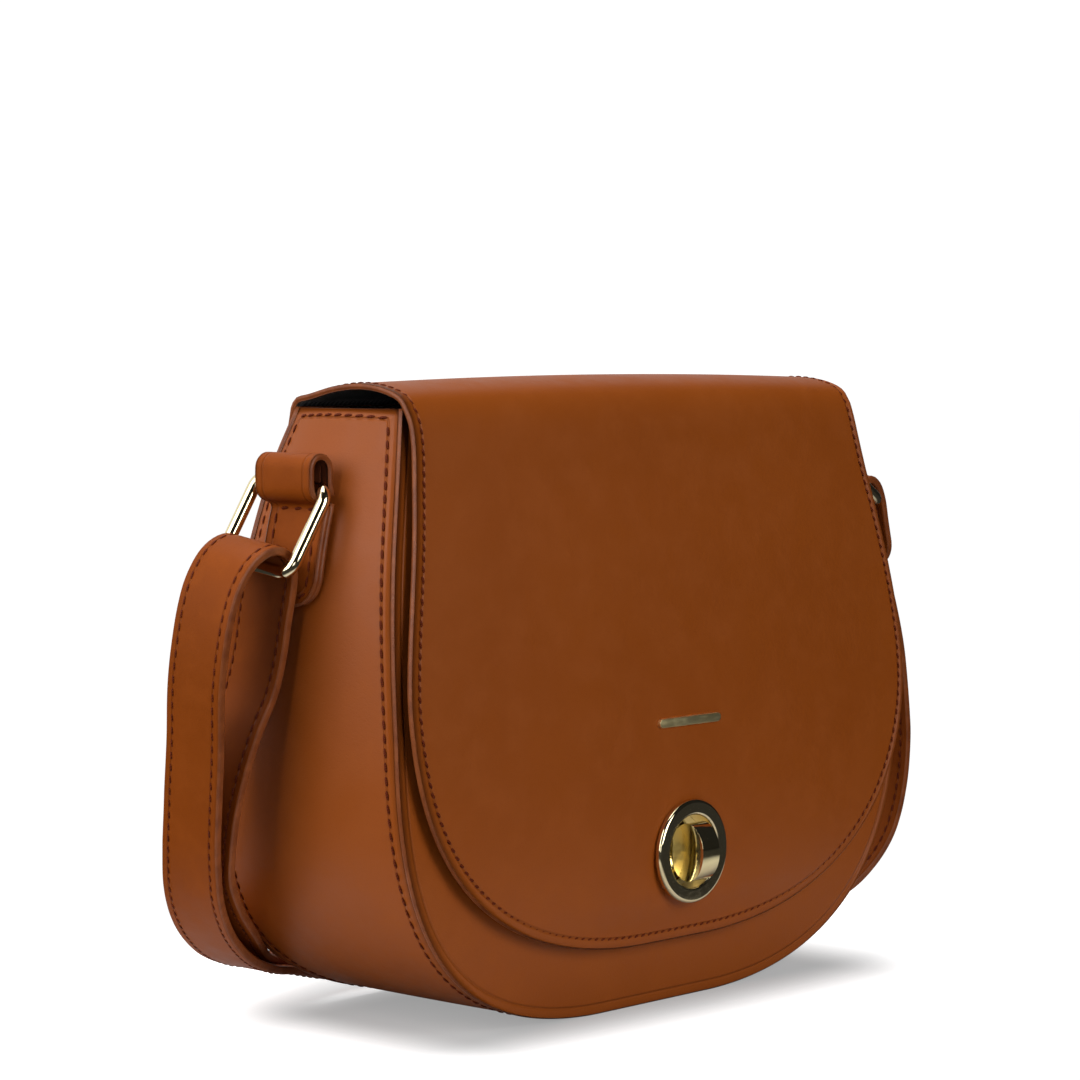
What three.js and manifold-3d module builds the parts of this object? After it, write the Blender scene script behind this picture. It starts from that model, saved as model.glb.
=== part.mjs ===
// Saddle-shaped leather sling bag with a turn-lock flap and an adjustable shoulder strap.
// Millimetres. +X to the wearer's side, -Y the front of the bag, +Z up.
// The origin is on the floor, at the centre of the flat of the base, under the strap tabs' plane.
import * as THREE from 'three';
import { mergeVertices } from 'three/addons/utils/BufferGeometryUtils.js';
import Module from 'manifold-3d';

const wasm = await Module();
wasm.setup();

// ---------------------------------------------------------------- driving dimensions
const GAP = 0.3; // clearance that neighbouring pieces keep
const LEATHER = 1.6; // body leather
const BOARD = 0.8; // stiffener board
const CLOTH = 0.6; // lining cloth
const TOP = 197; // height of the open rim
const FLAT_HALF = 26; // half length of the flat of the base
const WIDEST = 125; // half width of the panels at their widest

const FLAP_LEATHER = 1.3;
const FLAP_BOTTOM = 22;

const LOCK_Z = 51.4; // height of the turn lock
const LOCK_PLATE_Y = -40; // front of the lock's base plate
const BEZEL_FRONT_Y = -50;
const SCREW_RING = 15.2; // radius that the bezel's screws stand on

const STRAP_WIDTH = 24;
const STRAP_THICK = 3.6;
const STRAP_BACK_Y = 68; // line that the strap lies on behind the bag
const BUCKLE = { x: 18, z: 10.9, bar: 3, reach: 14, halfWidth: 16.3 };

const TAB = { y: 4.5, width: 24, bottom: 137, thick: 3.8 };
const RING = { x: 127.5, z: 174.5, bar: 2.1, width: 31, drop: 28.4, corner: 4.5 };
const RING_LEFT = { side: -1, roll: 8.2, swing: 27.2 };
const RING_RIGHT = { side: 1, roll: 0, swing: 57 };
const FOLD_REACH = 36; // how far from a ring's hinge the strap's fold goes with it

// ---------------------------------------------------------------- materials
function finish(color, roughness, metalness = 0) {
  return new THREE.MeshStandardMaterial({ color, roughness, metalness });
}
const TAN = finish('#8a4a1f', 0.5);
const EDGE = finish('#7c4022', 0.45);
const NAVY = finish('#17161c', 0.85);
const CARD = finish('#4a4038', 0.9);
const GOLD = finish('#d9bd7a', 0.2, 1);
const STEEL = finish('#9a9a9c', 0.35, 1);

// ---------------------------------------------------------------- geometry helpers
const v3 = (x, y, z) => new THREE.Vector3(x, y, z);

// Smooth curve through knots [[at, value], ...]; flat beyond its ends.
function profile(knots) {
  const slope = knots.map((k, i) => {
    const before = knots[Math.max(i - 1, 0)];
    const after = knots[Math.min(i + 1, knots.length - 1)];
    return (after[1] - before[1]) / (after[0] - before[0]);
  });
  return (at) => {
    if (at <= knots[0][0]) return knots[0][1];
    const last = knots.length - 1;
    if (at >= knots[last][0]) return knots[last][1];
    let i = 0;
    while (knots[i + 1][0] < at) i += 1;
    const span = knots[i + 1][0] - knots[i][0];
    const t = (at - knots[i][0]) / span;
    const a = 2 * t ** 3 - 3 * t ** 2 + 1;
    const b = t ** 3 - 2 * t ** 2 + t;
    const c = -2 * t ** 3 + 3 * t ** 2;
    const d = t ** 3 - t ** 2;
    return a * knots[i][1] + b * span * slope[i] + c * knots[i + 1][1] + d * span * slope[i + 1];
  };
}

// A closed body from vertices and triangles, turned so that its faces point out.
function solid(points, faces) {
  let volume = 0;
  for (const [a, b, c] of faces) volume += points[a].dot(v3().crossVectors(points[b], points[c]));
  const turned = volume < 0 ? faces.map(([a, b, c]) => [a, c, b]) : faces;
  const geometry = new THREE.BufferGeometry();
  geometry.setFromPoints(points);
  geometry.setIndex(turned.flat());
  return geometry;
}

// A thick sheet: rows of cells { out, in }, the two skins joined all the way round.
function sheet(rows) {
  const cols = rows[0].length;
  const points = [];
  for (const row of rows) for (const cell of row) points.push(cell.out, cell.in);
  const at = (i, j, skin) => 2 * (i * cols + j) + skin;
  const faces = [];
  const quad = (a, b, c, d) => faces.push([a, b, c], [a, c, d]);
  for (let i = 0; i < rows.length - 1; i += 1) {
    for (let j = 0; j < cols - 1; j += 1) {
      quad(at(i, j, 0), at(i, j + 1, 0), at(i + 1, j + 1, 0), at(i + 1, j, 0));
      quad(at(i, j, 1), at(i + 1, j, 1), at(i + 1, j + 1, 1), at(i, j + 1, 1));
    }
    quad(at(i, 0, 0), at(i + 1, 0, 0), at(i + 1, 0, 1), at(i, 0, 1));
    const e = cols - 1;
    quad(at(i, e, 0), at(i, e, 1), at(i + 1, e, 1), at(i + 1, e, 0));
  }
  const n = rows.length - 1;
  for (let j = 0; j < cols - 1; j += 1) {
    quad(at(0, j, 0), at(0, j, 1), at(0, j + 1, 1), at(0, j + 1, 0));
    quad(at(n, j, 0), at(n, j + 1, 0), at(n, j + 1, 1), at(n, j, 1));
  }
  return solid(points, faces);
}

// A round bar swept along a closed loop of points that lie in one plane.
function closedBar(loop, radius, sides, planeNormal) {
  const n = loop.length;
  const points = [];
  loop.forEach((p, i) => {
    const along = v3().subVectors(loop[(i + 1) % n], loop[(i + n - 1) % n]).normalize();
    const across = v3().crossVectors(along, planeNormal).normalize();
    for (let k = 0; k < sides; k += 1) {
      const turn = (2 * Math.PI * k) / sides;
      const offset = across.clone().multiplyScalar(radius * Math.cos(turn));
      points.push(p.clone().add(offset).addScaledVector(planeNormal, radius * Math.sin(turn)));
    }
  });
  const faces = [];
  for (let i = 0; i < n; i += 1) {
    for (let k = 0; k < sides; k += 1) {
      const a = i * sides + k;
      const b = i * sides + ((k + 1) % sides);
      const c = ((i + 1) % n) * sides + ((k + 1) % sides);
      const d = ((i + 1) % n) * sides + k;
      faces.push([a, b, c], [a, c, d]);
    }
  }
  return solid(points, faces);
}

// A turned piece about a line along Y: outline points are [radius, y].
function turned(outline, x = 0, z = LOCK_Z, sides = 32) {
  const geometry = new THREE.LatheGeometry(outline.map(([r, y]) => new THREE.Vector2(r, y)), sides);
  return geometry.translate(x, 0, z);
}

function rod(radius, yFrom, yTo, x = 0, z = LOCK_Z, sides = 20) {
  return turned([[0, yFrom], [radius, yFrom], [radius, yTo], [0, yTo]], x, z, sides);
}

function washer(inner, outer, yFrom, yTo, x = 0, z = LOCK_Z, sides = 28) {
  return turned([[inner, yFrom], [outer, yFrom], [outer, yTo], [inner, yTo], [inner, yFrom]], x, z, sides);
}

// ---------------------------------------------------------------- joins and cuts
function toManifold(geometry) {
  const plain = geometry.clone();
  plain.deleteAttribute('normal');
  plain.deleteAttribute('uv');
  const merged = mergeVertices(plain, 1e-4);
  const corners = merged.index.array;
  const points = [];
  for (let i = 0; i < merged.attributes.position.count; i += 1) {
    points.push(v3().fromBufferAttribute(merged.attributes.position, i));
  }
  const faces = [];
  for (let i = 0; i < corners.length; i += 3) {
    const face = [corners[i], corners[i + 1], corners[i + 2]];
    if (new Set(face).size === 3) faces.push(face);
  }
  const facing = solid(points, faces);
  return new wasm.Manifold(new wasm.Mesh({
    numProp: 3,
    vertProperties: new Float32Array(facing.attributes.position.array),
    triVerts: new Uint32Array(facing.index.array),
  }));
}

function fromManifold(body) {
  const mesh = body.getMesh();
  const geometry = new THREE.BufferGeometry();
  geometry.setAttribute('position', new THREE.BufferAttribute(new Float32Array(mesh.vertProperties), 3));
  geometry.setIndex(Array.from(mesh.triVerts));
  return geometry;
}

function cut(geometry, ...tools) {
  return fromManifold(tools.reduce((body, tool) => body.subtract(toManifold(tool)), toManifold(geometry)));
}

function join(...geometries) {
  return fromManifold(geometries.map(toManifold).reduce((body, other) => body.add(other)));
}

function keep(geometry, tool) {
  return fromManifold(toManifold(geometry).intersect(toManifold(tool)));
}

// ---------------------------------------------------------------- shape of the body
const frontDepth = profile([[0, 33.2], [25, 36.1], [50, 37.8], [75, 38.4], [100, 37.7], [150, 33.1], [TOP, 24.5]]);
const rearDepth = profile([[0, 46.5], [24, 50.6], [60, 46], [100, 40.5], [155, 32.7], [180, 28.6], [TOP, 22.9]]);
const gussetBulge = profile([[0, 0], [20, 0.8], [60, 3.5], [110, 4.5], [180, 4.5], [TOP, 3.5]]);

// Right half of the panels' outline, from the middle of the base up to the rim.
function halfOutline(inset) {
  const path = new THREE.Path();
  path.moveTo(FLAT_HALF, 0);
  path.bezierCurveTo(116, 0, WIDEST, 57.5, WIDEST, 94.2);
  path.bezierCurveTo(WIDEST, 149.6, 119.3, 156.1, 109.2, TOP);
  const raw = path.getPoints(16);
  const outline = raw.map((p, i) => {
    const a = raw[Math.max(i - 1, 0)];
    const b = raw[Math.min(i + 1, raw.length - 1)];
    const along = new THREE.Vector2().subVectors(b, a).normalize();
    const out = i === 0 ? new THREE.Vector2(0, -1) : new THREE.Vector2(along.y, -along.x);
    return { x: p.x - inset * out.x, z: i === raw.length - 1 ? TOP : p.y - inset * out.y, out };
  });
  return outline;
}

const rim = halfOutline(0);

// A panel of the body: y runs from outside to inside by the given depths.
function panel(inset, outerY, innerY, top = TOP) {
  const rows = halfOutline(inset).filter((p) => p.z <= top + 0.01).map(({ x, z }) => [-x, x].map((side) => ({
    out: v3(side, outerY(z), z),
    in: v3(side, innerY(z), z),
  })));
  return sheet(rows);
}

// A strip round the sides and the base, bulging outward between the two panels.
function wrapStrip(offset, thick, edge, fromZ = TOP) {
  const half = halfOutline(0).filter((p) => p.z <= fromZ + 0.01);
  const right = half.map((p) => ({ ...p, nx: p.out.x, nz: p.out.y }));
  const left = right.slice().reverse().map((p) => ({ ...p, x: -p.x, nx: -p.nx }));
  const columns = 6;
  const rows = [...left, ...right].map((p) => {
    const front = -frontDepth(p.z) + edge;
    const rear = rearDepth(p.z) - edge;
    return Array.from({ length: columns + 1 }, (_, j) => {
      const v = (2 * j) / columns - 1;
      const y = front + ((rear - front) * j) / columns;
      const lift = gussetBulge(p.z) * (1 - v * v);
      const at = (depth) => v3(p.x + p.nx * (lift - depth), y, p.z + p.nz * (lift - depth));
      const cell = { out: at(offset), in: at(offset + thick) };
      if (p.z >= TOP - 0.01) {
        cell.out.z = TOP;
        cell.in.z = TOP;
      }
      return cell;
    });
  });
  return sheet(rows);
}

// ---------------------------------------------------------------- shape of the flap
const flapGap = profile([[FLAP_BOTTOM, 5.7], [100, 5.1], [170, 4.5], [185, 4.8], [192, 4.6], [197, 3.6]]);
const flapCrown = profile([[0, 0], [0.1, 1.6], [0.3, 2.4], [0.5, 3.7], [0.85, 3.7], [1, 2.5]]);
const FLAP_TOP_HALF = 110.2;

// Rows of the flap from its bend line over the top and down the front: { y, z, half }.
function flapRows() {
  const arch = new THREE.SplineCurve([
    [23.1, 199.9], [15.6, 201.4], [4.3, 204], [-7.7, 204.9], [-18.9, 203.3], [-25.3, 200.5],
    [-frontDepth(196) - flapGap(196), 196],
  ].map(([y, z]) => new THREE.Vector2(y, z)));
  const rows = arch.getPoints(14).slice(0, -1).map((p) => ({ y: p.x, z: p.y, half: FLAP_TOP_HALF }));
  const side = new THREE.Path();
  side.moveTo(FLAP_TOP_HALF, 196);
  side.bezierCurveTo(108.3, 182, 123, 131, 123, 107);
  side.bezierCurveTo(123, 54.6, 83, FLAP_BOTTOM, 14, FLAP_BOTTOM);
  for (const p of side.getPoints(11)) rows.push({ y: -frontDepth(p.y) - flapGap(p.y), z: p.y, half: p.x });
  return rows;
}

function flapSheet(depth, thick, inset, skipRows = 0) {
  const path = flapRows();
  const columns = 8;
  let run = 0;
  const runs = path.map((p, i) => {
    run += i ? Math.hypot(p.y - path[i - 1].y, p.z - path[i - 1].z) : 0;
    return run;
  });
  const rows = path.map((p, i) => {
    const a = path[Math.max(i - 1, 0)];
    const b = path[Math.min(i + 1, path.length - 1)];
    const along = new THREE.Vector2(b.y - a.y, b.z - a.z).normalize();
    const out = new THREE.Vector2(along.y, -along.x);
    const lastRow = i === path.length - 1;
    const crown = flapCrown(runs[i] / run);
    const z = lastRow ? p.z + inset : p.z;
    return Array.from({ length: columns + 1 }, (_, j) => {
      const u = (2 * j) / columns - 1;
      const lift = crown * (1 - u * u);
      const at = (d) => v3(u * (p.half - inset), p.y + out.x * (lift - d), z + out.y * (lift - d));
      return { out: at(depth), in: at(depth + thick) };
    });
  });
  return sheet(rows.slice(skipRows));
}

const flapFaceY = (z) => -frontDepth(z) - flapGap(z) - 3.7;

// Leather tail that carries the flap, sewn on the outside of the back panel.
function flapTail() {
  const half = profile([[158, 90], [161, 98], [167, 103], [180, 106.5], [198, 109]]);
  const levels = [158, 159.5, 161, 164, 168, 175, 183, 190, 195, TOP, 198];
  return sheet(levels.map((z) => [-1, 1].map((side) => ({
    out: v3(side * half(z), rearDepth(z) + GAP + 1.6 - (z > TOP ? 0.6 : 0), z),
    in: v3(side * half(z), rearDepth(z) + GAP, z),
  }))));
}

// ---------------------------------------------------------------- strap hardware
// Directions of a ring: its hinge line, and the way that it hangs from it.
function ringFrame({ side, roll, swing }) {
  const tilt = THREE.MathUtils.degToRad(roll);
  const open = THREE.MathUtils.degToRad(swing);
  const axis = v3(0, Math.cos(tilt), Math.sin(tilt));
  const down = v3(0, Math.sin(tilt), -Math.cos(tilt));
  const hang = down.clone().multiplyScalar(Math.cos(open)).add(v3(side * Math.sin(open), 0, 0));
  return { centre: v3(side * RING.x, TAB.y, RING.z), axis, hang };
}

function ringBody(ring) {
  const { centre, axis, hang } = ringFrame(ring);
  const shape = new THREE.Path();
  const w = RING.width / 2;
  const r = RING.corner;
  shape.moveTo(-w + r, 0);
  shape.lineTo(w - r, 0);
  shape.absarc(w - r, r, r, -Math.PI / 2, 0);
  shape.lineTo(w, RING.drop - r);
  shape.absarc(w - r, RING.drop - r, r, 0, Math.PI / 2);
  shape.lineTo(-w + r, RING.drop);
  shape.absarc(-w + r, RING.drop - r, r, Math.PI / 2, Math.PI);
  shape.lineTo(-w, r);
  shape.absarc(-w + r, r, r, Math.PI, 1.5 * Math.PI);
  const flat = shape.getPoints(5).slice(0, -1);
  const loop = flat.map((p) => centre.clone().addScaledVector(axis, p.x).addScaledVector(hang, p.y));
  return closedBar(loop, RING.bar, 10, v3().crossVectors(axis, hang).normalize());
}

// Sewn tab on the gusset: a doubled strap with a round eye at its top for the ring.
function tabBody(side) {
  const edge = rim.slice().reverse();
  const gussetX = (z) => {
    const i = edge.findIndex((p) => p.z <= z);
    const [a, b] = [edge[i - 1], edge[i]];
    return a.x + ((b.x - a.x) * (a.z - z)) / (a.z - b.z) + gussetBulge(z) + GAP;
  };
  const levels = [TAB.bottom, 145, 153, 160, 166, 171];
  const flare = profile([[TAB.bottom, TAB.thick], [160, TAB.thick], [171, 7]]);
  const back = levels.map((z) => new THREE.Vector2(gussetX(z) + (z > 166 ? 1.2 : 0), z));
  const face = levels.map((z) => new THREE.Vector2(gussetX(z) + flare(z), z)).reverse();
  const slab = (shape) => {
    const geometry = new THREE.ExtrudeGeometry(shape, { depth: TAB.width, bevelEnabled: false, curveSegments: 20 });
    return geometry.rotateX(Math.PI / 2).translate(0, TAB.y + TAB.width / 2, 0);
  };
  const oval = (radius) => {
    const shape = new THREE.Shape();
    shape.absarc(RING.x, 178.8, radius, 0, Math.PI);
    shape.absarc(RING.x, 173.4, radius, Math.PI, 2 * Math.PI);
    return shape;
  };
  const plate = slab(new THREE.Shape([...back, ...face]));
  const loop = slab(oval(4.9));
  const eye = slab(oval(3.1)).translate(0, TAB.y, 0).scale(1, 2, 1).translate(0, -2 * TAB.y, 0);
  const half = TAB.width / 2;
  const outline = new THREE.Shape();
  outline.moveTo(-half, 190);
  outline.lineTo(-half, TAB.bottom + 9);
  outline.absarc(-half + 9, TAB.bottom + 9, 9, Math.PI, 1.5 * Math.PI);
  outline.absarc(half - 9, TAB.bottom + 9, 9, 1.5 * Math.PI, 2 * Math.PI);
  outline.lineTo(half, 190);
  const rounding = new THREE.ExtrudeGeometry(outline, { depth: 60, bevelEnabled: false, curveSegments: 8 });
  rounding.rotateX(Math.PI / 2).rotateZ(Math.PI / 2).translate(100, TAB.y, 0);
  const body = keep(cut(join(plate, loop), eye), rounding);
  return side < 0 ? fromManifold(toManifold(body.scale(-1, 1, 1))) : body;
}

function buckleBody() {
  const plate = new THREE.Shape();
  const x = BUCKLE.reach + BUCKLE.bar / 2;
  const y = BUCKLE.halfWidth;
  const r = 3;
  plate.moveTo(-x + r, -y);
  plate.lineTo(x - r, -y);
  plate.absarc(x - r, -y + r, r, -Math.PI / 2, 0);
  plate.lineTo(x, y - r);
  plate.absarc(x - r, y - r, r, 0, Math.PI / 2);
  plate.lineTo(-x + r, y);
  plate.absarc(-x + r, y - r, r, Math.PI / 2, Math.PI);
  plate.lineTo(-x, -y + r);
  plate.absarc(-x + r, -y + r, r, Math.PI, 1.5 * Math.PI);
  const bevel = { bevelEnabled: true, bevelThickness: 0.4, bevelSize: 0.4, bevelOffset: -0.4, bevelSegments: 1 };
  const frame = new THREE.ExtrudeGeometry(plate, { depth: BUCKLE.bar - 0.8, curveSegments: 4, ...bevel });
  const slotWide = BUCKLE.reach - BUCKLE.bar;
  const slots = [-1, 1].map((side) => {
    const slot = new THREE.BoxGeometry(slotWide, STRAP_WIDTH + 2, 3 * BUCKLE.bar);
    return slot.translate((side * BUCKLE.reach) / 2, 0, BUCKLE.bar / 2);
  });
  return cut(frame, ...slots).translate(BUCKLE.x, STRAP_BACK_Y, BUCKLE.z - BUCKLE.bar / 2 + 0.4);
}

// ---------------------------------------------------------------- strap route
// Centreline of the strap, from its sewn end on the buckle's centre bar, up the left side, over the
// left ring, back down, through the buckle, and up the right side to the fold on the right ring.
function strapRoute() {
  const back = (x, z) => [x, STRAP_BACK_Y, z];
  const around = (centreX, radius, degrees) => {
    const turn = THREE.MathUtils.degToRad(degrees);
    return back(centreX + radius * Math.cos(turn), BUCKLE.z + radius * Math.sin(turn));
  };
  const wrap = 4.3;
  const over = wrap + STRAP_THICK + GAP;
  const lean = THREE.MathUtils.radToDeg(Math.asin((wrap + over) / BUCKLE.reach));
  const wrapTurns = [160, 120, 80, 40, 0, -40, -80];
  const leftBar = BUCKLE.x - BUCKLE.reach;
  const rightBar = BUCKLE.x + BUCKLE.reach;
  const floor = STRAP_THICK / 2 + GAP;
  const stacked = floor + STRAP_THICK + GAP;
  return [
    ...wrapTurns.map((turn) => around(BUCKLE.x, wrap, turn)),
    back(12, 3.9), back(6.5, floor + 0.1), back(-6, floor), back(-26, floor), [-46, 68, 3.2], [-66, 66.5, 6.3],
    [-85.5, 61.8, 11.1], [-96.2, 59.2, 13.4], [-114.5, 51.6, 20.6], [-131.6, 42.3, 32.2],
    [-142.6, 34.6, 44.9], [-149.1, 28.3, 59.1], [-153.1, 23.2, 75.1], [-156.6, 18, 93.7],
    [-159, 14.7, 112], [-159.4, 12.5, 124.1], [-158.2, 10.8, 136], [-155.9, 9.9, 144],
    [-151.6, 8.7, 151.4], [-146.2, 8.2, 155.1], [-140.8, 7.9, 155.9], [-136.2, 8.1, 153.2],
    [-134, 8.8, 148.3], [-133.8, 9.7, 142.5], [-134.3, 11.1, 134.5], [-135.1, 12.8, 122.3],
    [-136.9, 15, 110.1], [-141.2, 17.2, 98.3], [-144, 19.9, 86.7], [-144.9, 23.4, 74.4],
    [-143.8, 27.2, 61.8], [-140.8, 31.2, 51.7], [-133.4, 36.6, 41.4], [-121.6, 45.2, 31],
    [-107.5, 59, 23.2], [-90, 67, 16.8], [-66, 67.8, 10.5], [-46, 68, 7.3], back(-26, stacked + 0.1),
    back(-6, stacked), around(leftBar, wrap, -90), around(leftBar, wrap, lean - 90 - 30),
    around(leftBar, wrap, lean - 90), around(BUCKLE.x, over, lean + 90), around(BUCKLE.x, over, lean / 2 + 90),
    around(BUCKLE.x, over, 90), around(BUCKLE.x, over, 90 - lean / 2), around(BUCKLE.x, over, 90 - lean),
    around(rightBar, wrap, -90 - lean), around(rightBar, wrap, -60 - lean), around(rightBar, wrap, -90),
    back(40, 4), back(50, 2.6), [64, 67.5, floor], [80, 63.5, floor], [98, 55, floor + 0.2],
    [116, 44, 3], [134, 33, 5.2], [149, 24, 9.8], [160, 17.5, 16.5], [167.5, 13, 25],
    [172.5, 10, 34], [175.2, 8.6, 42.3], [176.7, 7.5, 51.7], [177, 6.5, 61], [176.8, 5.9, 72],
    [175.6, 5.5, 80], [173.6, 5.1, 91.6], [171.5, 5, 103], [168.8, 4.9, 112.4], [164, 4.8, 125.5],
    [160.3, 4.7, 134], [157.2, 4.6, 141], [153, 4.5, 147.5], [148.5, 4.5, 153], [146.9, 4.5, 158.5],
    [147.2, 4.5, 163.5], [150.8, 4.5, 167], [155.5, 4.5, 165], [158.3, 4.5, 159.5],
    [159.9, 4.6, 152], [161.8, 4.7, 143], [163.2, 4.7, 138.3],
  ].map(([x, y, z]) => v3(x, y, z));
}

// Flat strap: its width stays as near to the Y direction as its run allows.
function strapSolid() {
  const route = new THREE.CatmullRomCurve3(strapRoute(), false, 'centripetal');
  const centres = route.getPoints(2 * (route.points.length - 1));
  const rows = centres.map((centre, i) => {
    const before = centres[Math.max(i - 1, 0)];
    const after = centres[Math.min(i + 1, centres.length - 1)];
    const along = v3().subVectors(after, before).normalize();
    const wide = v3(0, 1, 0).addScaledVector(along, -along.y).normalize();
    const thick = v3().crossVectors(along, wide);
    return [-1, 1].map((side) => ({
      out: centre.clone().addScaledVector(wide, (side * STRAP_WIDTH) / 2).addScaledVector(thick, STRAP_THICK / 2),
      in: centre.clone().addScaledVector(wide, (side * STRAP_WIDTH) / 2).addScaledVector(thick, -STRAP_THICK / 2),
    }));
  });
  return sheet(rows);
}

// Cylinder about a ring's hinge line.
function hingeCylinder(ring, radius) {
  const { centre, axis } = ringFrame(ring);
  const geometry = new THREE.CylinderGeometry(radius, radius, 80, 40);
  geometry.applyQuaternion(new THREE.Quaternion().setFromUnitVectors(v3(0, 1, 0), axis));
  return geometry.translate(centre.x, centre.y, centre.z);
}

// ---------------------------------------------------------------- lock
function lockKnob() {
  const coin = new THREE.Shape();
  coin.absellipse(0, 0, 6.6, 9.1, 0, 2 * Math.PI);
  const rounding = { bevelEnabled: true, bevelThickness: 0.9, bevelSize: 0.5, bevelOffset: 0, bevelSegments: 2 };
  const geometry = new THREE.ExtrudeGeometry(coin, { depth: 6.8, curveSegments: 14, ...rounding });
  const upright = new THREE.Matrix4().makeBasis(v3(0, 1, 0), v3(0, 0, 1), v3(1, 0, 0));
  return geometry.translate(0, 0, -3.4).applyMatrix4(upright).translate(0, -50.2, LOCK_Z);
}

function lockBezel() {
  const floorY = -42.6;
  const cup = turned([
    [0, floorY], [12, floorY], [12, BEZEL_FRONT_Y + 0.5], [12.6, BEZEL_FRONT_Y], [15.6, BEZEL_FRONT_Y],
    [17.1, BEZEL_FRONT_Y + 0.9], [17.1, -47.8], [12.9, -47.8], [12.9, floorY + 1.1], [0, floorY + 1.1],
  ], 0, LOCK_Z, 40);
  const slot = new THREE.Shape();
  slot.absarc(0, 5.2, 5.3, 0, Math.PI);
  slot.absarc(0, -5.2, 5.3, Math.PI, 2 * Math.PI);
  const tool = new THREE.ExtrudeGeometry(slot, { depth: 6, bevelEnabled: false, curveSegments: 10 });
  tool.rotateX(Math.PI / 2).translate(0, floorY + 4, LOCK_Z);
  return cut(cup, tool);
}

const screwPlaces = [45, 135, 225, 315].map((degrees) => {
  const turn = THREE.MathUtils.degToRad(degrees);
  return { x: SCREW_RING * Math.cos(turn), z: LOCK_Z + SCREW_RING * Math.sin(turn) };
});

// ---------------------------------------------------------------- assembly
const bag = new THREE.Group();

function add(name, geometry, material) {
  const mesh = new THREE.Mesh(geometry, material);
  mesh.name = name;
  bag.add(mesh);
}

const inFront = (depth) => (z) => -frontDepth(z) + depth;
const inRear = (depth) => (z) => rearDepth(z) - depth;
const boardAt = LEATHER + GAP;
const clothAt = boardAt + BOARD + GAP;
const skinAt = LEATHER + GAP;
const insideAt = skinAt + CLOTH + GAP;

// Lock's holes through the front panel's layers: the spindle and two rivets.
const spindleHole = rod(3.4, -60, 0);
const rivetHoles = [-8, 8].map((x) => rod(1.4, -60, 0, x, LOCK_Z, 12));
const frontHoles = [spindleHole, ...rivetHoles];

add('front_panel', cut(panel(0, inFront(0), inFront(LEATHER)), ...frontHoles), TAN);
add('front_stiffener', cut(panel(insideAt, inFront(boardAt), inFront(boardAt + BOARD)), ...frontHoles), CARD);
add('front_lining', cut(panel(insideAt, inFront(clothAt), inFront(clothAt + CLOTH)), ...frontHoles), NAVY);
add('back_panel', panel(0, inRear(0), inRear(LEATHER)), TAN);
add('back_stiffener', panel(insideAt, inRear(boardAt), inRear(boardAt + BOARD)), CARD);
add('back_lining', panel(insideAt, inRear(clothAt), inRear(clothAt + CLOTH)), NAVY);
add('gusset', wrapStrip(0, LEATHER, boardAt), TAN);
add('gusset_lining', wrapStrip(skinAt, CLOTH, boardAt), NAVY);
add('base_stiffener', wrapStrip(insideAt, BOARD, clothAt + CLOTH + GAP, 5), CARD);

const pocketLevels = [55, 75, 95, 115, 135];
const pocketDepth = clothAt + CLOTH + 0.5;
add('inner_pocket', sheet(pocketLevels.map((z) => [-70, 70].map((x) => ({
  out: v3(x, rearDepth(z) - pocketDepth, z),
  in: v3(x, rearDepth(z) - pocketDepth - CLOTH, z),
})))), NAVY);

add('flap_tail', flapTail(), TAN);

// Flap, with the lock's opening, the bezel's screw holes and the holes of the bar's two pins.
const badgeZ = 94.3;
const badgePins = [-11, 11];
const flapHoles = [
  rod(13.2, -60, -30, 0, LOCK_Z, 32),
  ...screwPlaces.map(({ x, z }) => rod(1.2, -60, -30, x, z, 12)),
];
const pinHoles = badgePins.map((x) => rod(1, -60, -30, x, badgeZ, 12));
add('flap_leather', cut(flapSheet(0, FLAP_LEATHER, 0), ...flapHoles, ...pinHoles), TAN);
add('flap_lining', cut(flapSheet(FLAP_LEATHER + GAP, CLOTH, 0.8, 2), rod(18.4, -60, -30, 0, LOCK_Z, 32)), NAVY);

const badgeY = flapFaceY(badgeZ) - GAP - 0.1;
const badgeBar = new THREE.BoxGeometry(30, 1.2, 3).translate(0, badgeY - 0.6, badgeZ);
const badgeRods = badgePins.map((x) => rod(0.7, badgeY - 0.3, badgeY + 1.5, x, badgeZ, 10));
add('flap_bar', join(badgeBar, ...badgeRods), GOLD);

add('lock_bezel', lockBezel(), GOLD);
const backRing = washer(13.3, 18, -43.9, -43.1);
add('lock_back_ring', cut(backRing, ...screwPlaces.map(({ x, z }) => rod(1.2, -50, -40, x, z, 12))), STEEL);
screwPlaces.forEach(({ x, z }, i) => {
  const outline = [[0, -47.4], [0.9, -47.4], [0.9, -42.9], [1.9, -42.9], [1.9, -42.1], [0, -42.1]];
  add(`lock_screw_${i + 1}`, turned(outline, x, z, 12), STEEL);
});

const plateBack = LOCK_PLATE_Y + 1.4;
const basePlate = cut(rod(11, LOCK_PLATE_Y, plateBack, 0, LOCK_Z, 32), ...frontHoles);
add('lock_base_plate', basePlate, GOLD);
add('lock_backing_plate', cut(rod(11, -33.2, -32.4, 0, LOCK_Z, 28), ...frontHoles), STEEL);
[-8, 8].forEach((x, i) => {
  const outline = [
    [0, -41.1], [1.9, -40.8], [1.9, -40.3], [1.1, -40.3], [1.1, -32.1], [2, -32.1], [2, -31.4], [0, -31.4],
  ];
  add(`lock_rivet_${i + 1}`, turned(outline, x, LOCK_Z, 12), STEEL);
});

add('lock_knob', lockKnob(), GOLD);
add('lock_spindle', rod(3, -42.9, -30), STEEL);
add('lock_spring_washer', washer(3.35, 5.8, -32.1, -31.4), STEEL);
add('lock_clip', washer(3.35, 5, -31.1, -30.3), STEEL);

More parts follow.
